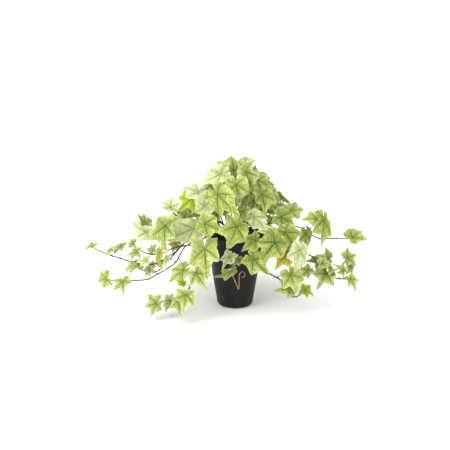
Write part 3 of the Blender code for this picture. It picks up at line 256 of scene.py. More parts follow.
def smooth_line(points, step):
    """Points every step mm along one smooth curve through the given points."""
    pts = [2 * points[0] - points[1]] + list(points) + [2 * points[-1] - points[-2]]
    dense = []
    for i in range(1, len(pts) - 2):
        p0, p1, p2, p3 = pts[i - 1], pts[i], pts[i + 1], pts[i + 2]
        t0 = 0.0
        t1 = t0 + max(1e-3, (p1 - p0).length) ** 0.5
        t2 = t1 + max(1e-3, (p2 - p1).length) ** 0.5
        t3 = t2 + max(1e-3, (p3 - p2).length) ** 0.5
        for s in range(16):
            t = t1 + (t2 - t1) * s / 16
            a1 = p0 * ((t1 - t) / (t1 - t0)) + p1 * ((t - t0) / (t1 - t0))
            a2 = p1 * ((t2 - t) / (t2 - t1)) + p2 * ((t - t1) / (t2 - t1))
            a3 = p2 * ((t3 - t) / (t3 - t2)) + p3 * ((t - t2) / (t3 - t2))
            b1 = a1 * ((t2 - t) / (t2 - t0)) + a2 * ((t - t0) / (t2 - t0))
            b2 = a2 * ((t3 - t) / (t3 - t1)) + a3 * ((t - t1) / (t3 - t1))
            dense.append(b1 * ((t2 - t) / (t2 - t1)) + b2 * ((t - t1) / (t2 - t1)))
    dense.append(pts[-2].copy())
    out = [dense[0].copy()]
    left = step
    for a, b in zip(dense, dense[1:]):
        run = (b - a).length
        while run >= left and run > 0:
            a = a + (b - a) * (left / run)
            out.append(a.copy())
            run = (b - a).length
            left = step
        left -= run
    if (out[-1] - dense[-1]).length > 0.4 * step:
        out.append(dense[-1])
    return out


class Vine:
    """One vine's stem centre line and leaves; k is the variant of the stem's route."""

    def __init__(self, name, index):
        self.name, self.index = name, index
        self.leaves = []

    def route(self, k):
        raise NotImplementedError

    def line(self, k):
        rnd = random.Random(f"{self.name} route {k}")
        way = self.route(k, rnd)
        first = way[0]
        turn = math.atan2(first.y, first.x)
        turn += math.radians((((k // 5) + 1) // 2) * (6 if (k // 5) % 2 else -6))
        rb = BASE_RADII[(k + self.index) % 5]
        reach = math.hypot(first.x, first.y)
        root = [Vector((rb * math.cos(turn), rb * math.sin(turn), SOIL_TOP - STEM_DEPTH)),
                Vector((rb * math.cos(turn), rb * math.sin(turn), SOIL_TOP)),
                Vector(((rb + 2) * math.cos(turn), (rb + 2) * math.sin(turn), SOIL_TOP + 12))]
        if reach > 58:
            mid = 0.5 * (rb + 50)
            lift = max(POT_H + 10, min(first.z, POT_H + 26) + 1.5 * (k % 4))
            root.append(Vector((mid * math.cos(turn), mid * math.sin(turn), lift)))
        pts = smooth_line(root + way, STEM_STEP)
        for i, p in enumerate(pts):
            r = math.hypot(p.x, p.y)
            need = pot_outer(p.z) + RIM_BAND_OUT + 3.5
            if i > 6 and p.z < POT_H + 4 and 50 < r < need:
                p.x *= need / r
                p.y *= need / r
        for _ in range(2):
            for i in range(5, len(pts) - 1):
                pts[i] = pts[i] * 0.5 + (pts[i - 1] + pts[i + 1]) * 0.25
        return pts


class FrontVine(Vine):
    def __init__(self, name, index, way, leaves):
        super().__init__(name, index)
        self.way = way
        self.leaves = [FrontLeaf(f"{name} leaf {i}", *row) for i, row in enumerate(leaves)]

    def route(self, k, rnd):
        out = []
        for u, v, d in self.way:
            shift = 0.0 if k < 5 else rnd.uniform(-1, 1) * 1.2 * (k // 5)
            out.append(at(u, v, d + shift))
        return out


class BackVine(Vine):
    def __init__(self, name, index, turn, reach, peak, end, count):
        super().__init__(name, index)
        self.turn, self.reach, self.peak, self.end = math.radians(turn), reach, peak, end
        self.leaves = [BackLeaf(f"{name} leaf {i}", self, i, count) for i in range(count)]

    def route(self, k, rnd):
        bend = random.Random(f"{self.name} bend").uniform(-0.16, 0.16)
        out = []
        for t in (0.3, 0.5, 0.68, 0.85, 1.0):
            r = self.reach * (0.35 + 0.65 * (t - 0.3) / 0.7) if self.reach > 100 else 40 + (self.reach - 40) * (t - 0.3) / 0.7
            rise = math.sin(min(1.0, (t - 0.05) / 0.45) * math.pi / 2)
            z = 172 + (self.peak - 172) * rise
            if t > 0.5:
                z = self.peak + (self.end - self.peak) * ((t - 0.5) / 0.5) ** 1.7
            turn = self.turn + bend * (t - 0.3) + rnd.uniform(-0.01, 0.01) * (k // 5)
            z += rnd.uniform(-1, 1) * 0.8 * (k // 5)
            out.append(Vector((r * math.cos(turn), r * math.sin(turn), z)))
        return out


class Frame:
    """A blade's place: junction J, midrib direction a, side b, upper normal n and length."""

    def __init__(self, joint, tip, face, roll, rim, droop, fold, wide=1.0):
        self.joint = joint
        self.a = (tip - joint).normalized()
        self.length = (tip - joint).length
        n = face - self.a * face.dot(self.a)
        self.n = n.normalized()
        turn = Matrix.Rotation(math.radians(roll), 3, self.a)
        self.n = turn @ self.n
        self.b = self.n.cross(self.a)
        self.rim, self.droop, self.fold, self.wide = rim, droop, fold, wide

    def sag(self, x, y):
        """Height of the blade's middle surface over its flat plane, for x, y in blade lengths."""
        return (-self.droop * (x * x + 0.8 * y * y) + self.fold * (math.sqrt(y * y + 0.01) - 0.1))

    def point(self, x, y, lift=0.0):
        y *= self.wide
        return self.joint + self.a * (x * self.length) + self.b * (y * self.length) + self.n * (self.sag(x, y) * self.length + lift)


def blade_outline(full, key):
    """Polar outline of a five-lobed blade about the stalk's end, a little different on every blade and
    on its two sides: angle from the tip in degrees, radius in blade lengths."""
    rnd = random.Random(key + " outline")
    sides = []
    for _ in range(2):
        half = [(27, 0.44 + 0.30 * full, 0.06), (56, 0.78 + 0.07 * full, 0.10), (86, 0.42 + 0.22 * full, 0.08),
                (120, 0.54 + 0.13 * full, 0.12), (154, 0.30 + 0.18 * full, 0.10)]
        sides.append([(angle + rnd.uniform(-4.5, 4.5), r * (1 + rnd.uniform(-vary, vary))) for angle, r, vary in half])
    return [(0, 1.0)] + sides[0] + [(180, 0.085 + 0.02 * full)] + [(-a, r) for a, r in reversed(sides[1])]


class FrontLeaf:
    tries = 200

    def __init__(self, key, ju, jv, tu, tv, d, dt, roll, full, tint, wide=None):
        self.key, self.full, self.tint = key, full, tint
        self.row = (ju, jv, tu, tv, d, dt, roll)
        self.rim = blade_outline(full, key)
        rnd = random.Random(key)
        self.droop, self.fold = rnd.uniform(0.08, 0.26), rnd.uniform(0.06, 0.36)
        self.lean = math.radians(rnd.uniform(14, 40))
        self.yaw = math.radians(max(-34.0, min(34.0, 0.3 * (ju - 235))) + rnd.uniform(-16, 16))
        self.wide = wide or rnd.uniform(0.70, 0.92)
        self.twist = rnd.uniform(-20, 20)
        self.rank = -math.hypot(tu - ju, tv - jv)

    def frame(self, j, vine=None, line=None):
        rnd = random.Random(f"{self.key} try {j}")
        ju, jv, tu, tv, d, dt, roll = self.row
        lean, yaw = self.lean, self.yaw
        roll += self.twist
        if j:
            m = j % 30
            d += 3.0 * ((m + 1) // 2) * (1 if m % 2 else -1)
            roll += rnd.uniform(-10, 10)
            lean += math.radians(rnd.uniform(-10, 10)) * min(2, 1 + j // 30)
            yaw += math.radians(rnd.uniform(-10, 10)) * min(2, 1 + j // 30)
        if j > 60:
            du, dv, less = rnd.uniform(-2.2, 2.2), rnd.uniform(-2.2, 2.2), rnd.uniform(0.74, 0.94)
            ju, jv = ju + du, jv + dv
            tu, tv = ju + (tu + du - ju) * less, jv + (tv + dv - jv) * less
        face = Vector((math.sin(yaw) * math.cos(lean), -math.cos(yaw) * math.cos(lean), math.sin(lean)))
        joint = at(ju, jv, d)
        flat = at(tu, tv, d) - joint
        dt += max(-0.8 * flat.length, min(0.8 * flat.length, face.dot(flat) / (math.cos(yaw) * math.cos(lean)) * -1.0))
        tip = at(tu, tv, d + dt)
        return Frame(joint, tip, face, roll, self.rim, self.droop, self.fold, self.wide)


class BackLeaf:
    tries = 300

    def __init__(self, key, vine, i, count):
        self.key, self.vine, self.i, self.count = key, vine, i, count
        rnd = random.Random(key)
        self.full = rnd.uniform(0.3, 0.95)
        self.tint = rnd.choice("nnnpnddbnp")
        self.rim = blade_outline(self.full, key)
        self.wide = rnd.uniform(0.76, 0.96)
        self.droop, self.fold = rnd.uniform(0.08, 0.26), rnd.uniform(0.06, 0.34)
        self.rank = 1000 + i

    def frame(self, j, vine, line):
        rnd = random.Random(f"{self.key} try {j}")
        start, top = 0.26, len(line) - 1
        t = start + (1 - start) * (self.i + 0.75) / self.count
        at_i = min(top, int(round(t * top)))
        p = line[at_i]
        along = (line[min(top, at_i + 1)] - line[at_i - 1]).normalized()
        out = Vector((math.cos(vine.turn), math.sin(vine.turn), 0))
        side = along.cross(Vector((0, 0, 1)))
        side = side.normalized() if side.length > 0.2 else Vector((-out.y, out.x, 0))
        if self.i % 2:
            side = -side
        if self.i == self.count - 1:
            side *= 0.25
        if j > 40 and rnd.random() < 0.5:
            side = -side
        if j > 90:
            p = line[max(8, min(top, at_i + rnd.choice((-4, -3, -2, 2, 3, 4))))]
        reach = 1.0 + 0.005 * j
        joint = p + (side * rnd.uniform(11, 20) + Vector((0, 0, rnd.uniform(2, 13))) + out * rnd.uniform(2, 9)) * reach
        size = rnd.uniform(36, 56) * (1 - 0.25 * self.i / self.count) * (1 - 0.0018 * j)
        point = (out * rnd.uniform(0.4, 1.0) + side * rnd.uniform(0.2, 0.9) + Vector((0, 0, rnd.uniform(-0.75, 0.05)))).normalized()
        face = (out * rnd.uniform(0.5, 1.1) + Vector((0, 0, rnd.uniform(0.5, 1.0))) + side * rnd.uniform(-0.2, 0.3)).normalized()
        return Frame(joint, joint + point * size, face, rnd.uniform(-14, 14), self.rim, self.droop, self.fold, self.wide)


def stalk_nodes(vine, line, frames):
    """Where on the stem each leaf's stalk starts: a distance along the line, no two nearer than 6 mm."""
    total = STEM_STEP * (len(line) - 1)
    want = []
    for n, frame in enumerate(frames):
        best = min(range(6, len(line)), key=lambda i: (line[i] - frame.joint).length)
        gap = (line[best] - frame.joint).length
        want.append([best * STEM_STEP - min(0.3 * gap, 9.0), n])
    want.sort()
    low = STEM_DEPTH + 11.0
    for i, row in enumerate(want):
        row[0] = max(row[0], low)
        low = row[0] + 6.0
    high = total - 2.2
    for row in reversed(want):
        row[0] = min(row[0], high)
        high = row[0] - 6.0
    out = [0.0] * len(frames)
    for s, n in want:
        out[n] = s
    return out


def line_at(line, s):
    i = max(0, min(len(line) - 2, int(s / STEM_STEP)))
    t = s / STEM_STEP - i
    return line[i] + (line[i + 1] - line[i]) * t


def line_dir(line, s):
    return (line_at(line, s + 2.0) - line_at(line, s - 2.0)).normalized()


def stalk_curve(line, s, frame, count):
    """Points of a leaf stalk from the stem's surface to just under the blade."""
    p0 = line_at(line, s)
    end = frame.joint - frame.n * 0.5
    gap = (end - p0).length
    along = line_dir(line, s)
    aim = (end - p0).normalized()
    lead = (aim - along * (0.5 * aim.dot(along)) + Vector((0, 0, 0.12))).normalized()
    arrive = (frame.a * 0.62 + frame.n * 0.78).normalized()
    p1 = p0 + lead * (0.36 * gap)
    p2 = end - arrive * (0.34 * gap)
    out = []
    for i in range(count + 1):
        t = i / count
        q = 1 - t
        out.append(p0 * q ** 3 + p1 * (3 * q * q * t) + p2 * (3 * q * t * t) + end * t ** 3)
    return out


def stem_radius(s, total):
    return STEM_R_BASE + (STEM_R_TIP - STEM_R_BASE) * max(0.0, min(1.0, s / total)) ** 0.8


def all_vines():
    vines = []
    for name, way, leaves in FRONT_VINES:
        vines.append(FrontVine(name, len(vines), way, leaves))
    for name, turn, reach, peak, end, count in BACK_VINES:
        vines.append(BackVine(name, len(vines), turn, reach, peak, end, count))
    for name, way, leaves in FINE_VINES:
        vines.append(FrontVine(name, len(vines), way, leaves))
    return vines


# ================================================================ small helpers
MM = 0.001


def srgb(r, g, b):
    """A colour given as 0 to 255 display values, in linear light."""
    out = []
    for c in (r, g, b):
        c /= 255.0
        out.append(c / 12.92 if c <= 0.04045 else ((c + 0.055) / 1.055) ** 2.4)
    return tuple(out)


def blend(a, b, t):
    return tuple(x + (y - x) * t for x, y in zip(a, b))


class Net:
    """A material and short ways to add nodes to it."""

    def __init__(self, name):
        self.material = bpy.data.materials.new(name)
        self.material.use_nodes = True
        self.nodes = self.material.node_tree.nodes
        self.links = self.material.node_tree.links
        self.shader = self.nodes["Principled BSDF"]

    def put(self, socket, value):
        if isinstance(value, bpy.types.NodeSocket):
            self.links.new(value, socket)
        elif isinstance(value, tuple) and len(value) == 3 and len(socket.default_value) == 4:
            socket.default_value = (*value, 1.0)
        else:
            socket.default_value = value

    def math(self, operation, a, b=None, c=None, clamp=False):
        node = self.nodes.new("ShaderNodeMath")
        node.operation = operation
        node.use_clamp = clamp
        for i, value in enumerate((a, b, c)):
            if value is not None:
                self.put(node.inputs[i], value)
        return node.outputs[0]

    def span(self, value, low, high, to_low=0.0, to_high=1.0, smooth=True):
        node = self.nodes.new("ShaderNodeMapRange")
        node.interpolation_type = "SMOOTHSTEP" if smooth else "LINEAR"
        for name, v in (("Value", value), ("From Min", low), ("From Max", high), ("To Min", to_low), ("To Max", to_high)):
            self.put(node.inputs[name], v)
        return node.outputs[0]

    def mix(self, share, a, b, kind="MIX"):
        node = self.nodes.new("ShaderNodeMix")
        node.data_type = "RGBA"
        node.blend_type = kind
        self.put(node.inputs[0], share)
        self.put(node.inputs[6], a)
        self.put(node.inputs[7], b)
        return node.outputs[2]

    def attr(self, name):
        node = self.nodes.new("ShaderNodeAttribute")
        node.attribute_name = name
        return node.outputs["Vector"]

    def split(self, vector):
        node = self.nodes.new("ShaderNodeSeparateXYZ")
        self.put(node.inputs[0], vector)
        return node.outputs

    def join(self, x, y, z):
        node = self.nodes.new("ShaderNodeCombineXYZ")
        for socket, value in zip(node.inputs, (x, y, z)):
            self.put(socket, value)
        return node.outputs[0]

    def scaled(self, vector, by):
        node = self.nodes.new("ShaderNodeVectorMath")
        node.operation = "MULTIPLY"
        self.put(node.inputs[0], vector)
        self.put(node.inputs[1], by)
        return node.outputs[0]

    def noise(self, vector, scale, detail=2.0, rough=0.5, warp=0.0):
        node = self.nodes.new("ShaderNodeTexNoise")
        self.put(node.inputs["Vector"], vector)
        node.inputs["Scale"].default_value = scale
        node.inputs["Detail"].default_value = detail
        node.inputs["Roughness"].default_value = rough
        node.inputs["Distortion"].default_value = warp
        return node.outputs[0]

    def cells(self, vector, scale, feature="DISTANCE_TO_EDGE"):
        node = self.nodes.new("ShaderNodeTexVoronoi")
        node.feature = feature
        self.put(node.inputs["Vector"], vector)
        node.inputs["Scale"].default_value = scale
        return node.outputs[0]

    def place(self):
        return self.nodes.new("ShaderNodeTexCoord").outputs["Object"]

    def bump(self, height, strength, distance):
        node = self.nodes.new("ShaderNodeBump")
        node.inputs["Strength"].default_value = strength
        node.inputs["Distance"].default_value = distance
        self.put(node.inputs["Height"], height)
        self.links.new(node.outputs[0], self.shader.inputs["Normal"])

    def set(self, **values):
        for name, value in values.items():
            self.put(self.shader.inputs[name.replace("_", " ")], value)


class Skin:
    """Vertices (mm), faces and named 3-number attributes of a piece under way."""

    def __init__(self, *names):
        self.verts, self.faces = [], []
        self.extra = {name: [] for name in names}

    def add(self, verts, faces, **extra):
        base = len(self.verts)
        self.verts += [tuple(v) for v in verts]
        self.faces += [tuple(base + i for i in f) for f in faces]
        for name, rows in self.extra.items():
            value = extra[name]
            rows += list(value) if isinstance(value, list) else [value] * len(verts)

    def build(self, name, material, sharp=40.0):
        mesh = bpy.data.meshes.new(name)
        mesh.from_pydata([(x * MM, y * MM, z * MM) for x, y, z in self.verts], [], self.faces)
        for key, rows in self.extra.items():
            layer = mesh.attributes.new(key, "FLOAT_VECTOR", "POINT")
            layer.data.foreach_set("vector", np.array(rows, np.float32).ravel())
        mesh.materials.append(material)
        mesh.shade_smooth()
        mesh.set_sharp_from_angle(angle=math.radians(sharp))
        made = bpy.data.objects.new(name, mesh)
        bpy.context.scene.collection.objects.link(made)
        return made


def tube(points, radii, sides, flat=1.0, caps=True):
    """A round tube through the points, with a rounded point at its far end."""
    verts, faces = [], []
    normal = None
    count = len(points)
    for i, p in enumerate(points):
        t = (points[min(count - 1, i + 1)] - points[max(0, i - 1)]).normalized()
        if normal is None:
            normal = t.orthogonal().normalized()
        normal = (normal - t * normal.dot(t)).normalized()
        side = t.cross(normal)
        for s in range(sides):
            w = 2 * math.pi * s / sides
            verts.append(p + (normal * math.cos(w) + side * (math.sin(w) * flat)) * radii[i])
    for i in range(count - 1):
        for s in range(sides):
            n = (s + 1) % sides
            faces.append((i * sides + s, i * sides + n, (i + 1) * sides + n, (i + 1) * sides + s))
    if caps:
        first = (points[0] - points[1]).normalized()
        last = (points[-1] - points[-2]).normalized()
        verts += [points[0] + first * (radii[0] * 0.5), points[-1] + last * (radii[-1] * 0.7)]
        top = (count - 1) * sides
        for s in range(sides):
            n = (s + 1) % sides
            faces.append((count * sides, n, s))
            faces.append((count * sides + 1, top + s, top + n))
    return verts, faces


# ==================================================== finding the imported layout
def tree_of(name):
    verts = frame["nodes"][name].data.vertices
    tree = KDTree(len(verts))
    for v in verts:
        tree.insert(v.co / MM, v.index)
    tree.balance()
    return tree


def find_again(vine):
    """Finds the stem's route and each blade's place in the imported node."""
    tree = tree_of(vine.name)

    def there(p):
        return tree.find(p)[2] < 0.15

    for k in range(60):
        line = vine.line(k)
        ring = {tuple(round(c, 1) for c in co) for co, _, gap in tree.find_range(line[0], STEM_R_BASE + 0.06)
                if gap > STEM_R_BASE - 0.06}
        if len(ring) >= 5:
            break
    else:
        raise SystemExit(f"{vine.name}: no route fits the packed stem")
    vine.path = line
    first = [leaf.frame(0, vine, line) for leaf in vine.leaves]
    for leaf, s in zip(vine.leaves, stalk_nodes(vine, line, first)):
        leaf.s, leaf.place = s, None
        for j in range(leaf.tries):
            place = leaf.frame(j, vine, line)
            if not there(place.joint + place.n * 0.4):
                continue
            rim = [(math.radians(a), r) for a, r in place.rim]
            if all(there(place.point(r * math.cos(a), r * math.sin(a))) for a, r in rim):
                leaf.place = place
                break
    vine.leaves = [leaf for leaf in vine.leaves if leaf.place]
    vine.total = STEM_STEP * (len(line) - 1)
    vine.end = min(vine.total, max(leaf.s for leaf in vine.leaves) + 3.2)


vines = all_vines()
for vine in vines:
    find_again(vine)
print("leaves found", sum(len(vine.leaves) for vine in vines))


# ======================================================================= leaves
LOBES = [0.0, math.radians(56), math.radians(120)]
TINTS = {  # the blade's middle, its margin, and how dark its veins are
    "n": (srgb(168, 182, 86), srgb(216, 221, 158), 1.0),
    "p": (srgb(198, 208, 144), srgb(230, 235, 194), 0.8),
    "d": (srgb(146, 164, 70), srgb(196, 206, 126), 1.1),
    "y": (srgb(190, 186, 50), srgb(214, 208, 100), 0.7),
    "b": (srgb(160, 184, 30), srgb(190, 204, 70), 0.85),
}


def curve(p0, p1, p2, p3, count):
    """Points of a cubic from p0 towards p3, leaving p3 out."""
    out = []
    for i in range(count):
        t = i / count
        q = 1 - t
        out.append((q ** 3 * p0[0] + 3 * q * q * t * p1[0] + 3 * q * t * t * p2[0] + t ** 3 * p3[0],
                    q ** 3 * p0[1] + 3 * q * q * t * p1[1] + 3 * q * t * t * p2[1] + t ** 3 * p3[1]))
    return out


def half_outline(spots, full, rnd, dense):
    """One side of a blade's outline, from the tip to the cleft at the stalk, in blade lengths."""
    pts = [(r * math.cos(math.radians(a)), r * math.sin(math.radians(a))) for a, r in spots]
    out = []
    bulge = 0.055 + 0.045 * full
    steps = (7, 7, 7, 7, 5, 4) if dense else (4, 4, 4, 4, 3, 3)

    def tangent(p):
        length = math.hypot(*p)
        return (p[1] / length, -p[0] / length)      # towards the tip's side

    for i in range(4):
        p, q = pts[i], pts[i + 1]
        dx, dy = q[0] - p[0], q[1] - p[1]
        run = math.hypot(dx, dy)
        ox, oy = -dy / run, dx / run
        if ox * (p[0] + q[0]) + oy * (p[1] + q[1]) < 0:
            ox, oy = -ox, -oy
        soft = rnd.uniform(0.20, 0.32)
        out_by = run * bulge * rnd.uniform(0.5, 1.7)
        if i % 2 == 0:                              # from a lobe's point down into a sinus
            tx, ty = tangent(q)
            c1 = (p[0] + dx * 0.42 + ox * out_by, p[1] + dy * 0.42 + oy * out_by)
            c2 = (q[0] + tx * run * soft, q[1] + ty * run * soft)
        else:                                       # from a sinus out to the next point
            tx, ty = tangent(p)
            c1 = (p[0] - tx * run * soft, p[1] - ty * run * soft)
            c2 = (q[0] - dx * 0.42 + ox * out_by, q[1] - dy * 0.42 + oy * out_by)
        out += curve(p, c1, c2, q, steps[i])
    p, q = pts[4], pts[5]
    dx, dy = q[0] - p[0], q[1] - p[1]
    run = math.hypot(dx, dy)
    tx, ty = tangent(q)
    out += curve(p, (p[0] + dx * 0.4 - 0.10 * run, p[1] + dy * 0.4 + 0.12 * run), (q[0] + tx * run * 0.4, q[1] + ty * run * 0.4), q, steps[4])
    p, q = pts[5], pts[6]
    run = math.hypot(q[0] - p[0], q[1] - p[1])
    tx, ty = tangent(p)
    out += curve(p, (p[0] - tx * run * 0.45, p[1] - ty * run * 0.45), (q[0] - 0.10, q[1] + 0.035), q, steps[5])
    out.append(q)
    # small unevenness of the margin, none at the points themselves
    shift = rnd.uniform(0, 50)
    for i, (x, y) in enumerate(out):
        k = 1 + (0.06 if dense else 0.04) * noise.noise(Vector((i * 0.62, shift, 0.3)))
        step = sum(steps[:4])
        if dense and 1 < i < step and i % 7:
            k += (0.030, -0.022)[(i % 7) % 2] * rnd.uniform(0.3, 1.3)
        out[i] = (x * k, y * k)
    return out


def outline_of(rim, full, rnd, dense):
    left = half_outline(rim[:7], full, rnd, dense)
    right = half_outline([rim[0]] + [(-a, r) for a, r in reversed(rim[7:])] + [rim[6]], full, rnd, dense)
    right[0], right[-1] = left[0], left[-1]
    return np.array(left + [(x, -y) for x, y in reversed(right[1:-1])])


REGULAR = [0, 27, 56, 86, 120, 154, 180]


def as_regular(outline, rim):
    """The outline's points with each lobe turned to where it sits on a regular blade, so that the
    veins' rule of angles fits every blade."""
    turn = np.degrees(np.arctan2(outline[:, 1], outline[:, 0]))
    left = [a for a, _ in rim[:7]]
    right = [0] + [-a for a, _ in reversed(rim[7:])] + [180]
    size = np.abs(turn)
    fixed = np.where(turn >= 0, np.interp(size, left, REGULAR), -np.interp(size, right, REGULAR))
    r = np.hypot(outline[:, 0], outline[:, 1])
    return np.stack([r * np.cos(np.radians(fixed)), r * np.sin(np.radians(fixed))], axis=1)


def margin_gap(points, rim):
    """Distance of each point to the outline."""
    a = rim
    b = np.roll(rim, -1, axis=0)
    d = b - a
    t = ((points[:, None, :] - a[None]) * d[None]).sum(2) / (d * d).sum(1)[None]
    t = t.clip(0, 1)
    gap = points[:, None, :] - (a[None] + d[None] * t[:, :, None])
    return np.sqrt((gap * gap).sum(2)).min(1)


def vein_place(x, y):
    """How far out along the nearest main vein a point lies, and how far to its side."""
    ay = np.abs(y)
    t = np.maximum.reduce([x * math.cos(w) + ay * math.sin(w) for w in LOBES])
    return t, np.sqrt(np.maximum(0, x * x + y * y - t * t))


RINGS_DENSE = (0.10, 0.24, 0.40, 0.56, 0.72, 0.86, 0.96, 1.0)
RINGS_LIGHT = (0.16, 0.38, 0.62, 0.84, 1.0)


def add_blade(skin, place, key, tint, full, shade=1.0):
    """Adds one blade: a crowned, channelled and waved sheet with real thickness."""
    rnd = random.Random(key + " look")
    dense = place.length > 24
    rim = outline_of(place.rim, full, rnd, dense)
    even = as_regular(rim, place.rim)
    rings = RINGS_DENSE if dense else RINGS_LIGHT
    count = len(rim)
    grid = np.concatenate([np.zeros((1, 2))] + [rim * s for s in rings])
    share = np.concatenate([[0.0]] + [np.full(count, s) for s in rings])
    x, y = grid[:, 0], grid[:, 1]
    around = np.concatenate([[0.0]] + [np.arctan2(rim[:, 1], rim[:, 0])] * len(rings))
    edge = margin_gap(grid, rim)
    flat = np.concatenate([np.zeros((1, 2))] + [even * s for s in rings])
    t, c = vein_place(flat[:, 0], flat[:, 1])
    rx = np.concatenate([[0.0]] + [rim[:, 0]] * len(rings))
    ry = np.concatenate([[0.0]] + [rim[:, 1]] * len(rings))
    whole = -place.droop * (rx * rx + 0.8 * ry * ry) + place.fold * (np.sqrt(ry * ry + 0.01) - 0.1)
    height = whole * share ** 1.35
    height = height + 0.020 * (1 - np.exp(-c / 0.045)) * np.clip(t * 4, 0, 1)
    height = height - 0.006
    p1, p2, p3 = [rnd.uniform(0, 6.28) for _ in range(3)]
    wave = rnd.uniform(0.018, 0.046)
    height = height + share ** 3 * (wave * np.sin(5 * around + p1) + 0.6 * wave * np.sin(9 * around + p2))
    curl = rnd.uniform(0.0, 0.55)
    height = height - curl * np.maximum(0, t - 0.55) ** 2
    height = height + rnd.uniform(-0.12, 0.12) * x * y
    lean = [rnd.uniform(-0.20, 0.05) for _ in range(5)]    # each lobe bends its own way
    for bend, w in zip(lean, (0, 56, -56, 120, -120)):
        w = math.radians(w)
        near = np.clip(1 - np.abs((np.arctan2(flat[:, 1], flat[:, 0]) - w + math.pi) % (2 * math.pi) - math.pi) / 0.62, 0, 1)
        height = height + bend * near * near * (3 - 2 * near) * share ** 1.6
    crease = np.cos((t - 0.75 * c) * 44 + p3)
    height = height + 0.0055 * crease * np.clip(c * 9, 0, 1) * np.clip(edge * 8, 0, 1)
    length = place.length
    base = np.array(place.joint)
    a, b, n = np.array(place.a), np.array(place.b), np.array(place.n)
    top = base + np.outer(x * length, a) + np.outer(y * length * place.wide, b) + np.outer(height * length, n)
    thick = (0.16 + 0.0028 * length) * (1 - 0.55 * share ** 4)
    low = top - n * thick[:, None]
    faces = []
    for r in range(len(rings)):
        for i in range(count):
            j = (i + 1) % count
            if r == 0:
                faces.append((0, 1 + i, 1 + j))
            else:
                u, v = 1 + (r - 1) * count, 1 + r * count
                faces.append((u + i, v + i, v + j, u + j))
    total = len(grid)
    under = [tuple(total + i for i in reversed(f)) for f in faces]
    last = 1 + (len(rings) - 1) * count
    sides = [(last + i, total + last + i, total + last + (i + 1) % count, last + (i + 1) % count) for i in range(count)]
    own = rnd.random()
    inner, outer, dark = TINTS[tint]
    warm = rnd.uniform(-0.005, 0.06)
    least = {"p": 0.82, "n": 0.70}.get(tint, 0.74)
    bright = 0.95 * rnd.uniform(least, 0.93) * shade
    tune = (bright * (1 + warm), bright, bright * (1 - 1.6 * warm))
    inner = tuple(q * w for q, w in zip(inner, tune))
    outer = tuple(q * w for q, w in zip(outer, tune))
    blade = [(float(u), float(v), float(e)) for u, v, e in zip(flat[:, 0], flat[:, 1], edge)] * 2
    info = [(own, 0.0, length / 50.0)] * total + [(own, 1.0, length / 50.0)] * total
    skin.add(np.concatenate([top, low]).tolist(), faces + under + sides,
             blade=blade, leaf=info, inner=inner, outer=outer, veins=(dark * rnd.uniform(0.8, 1.15), rnd.random(), rnd.random()))


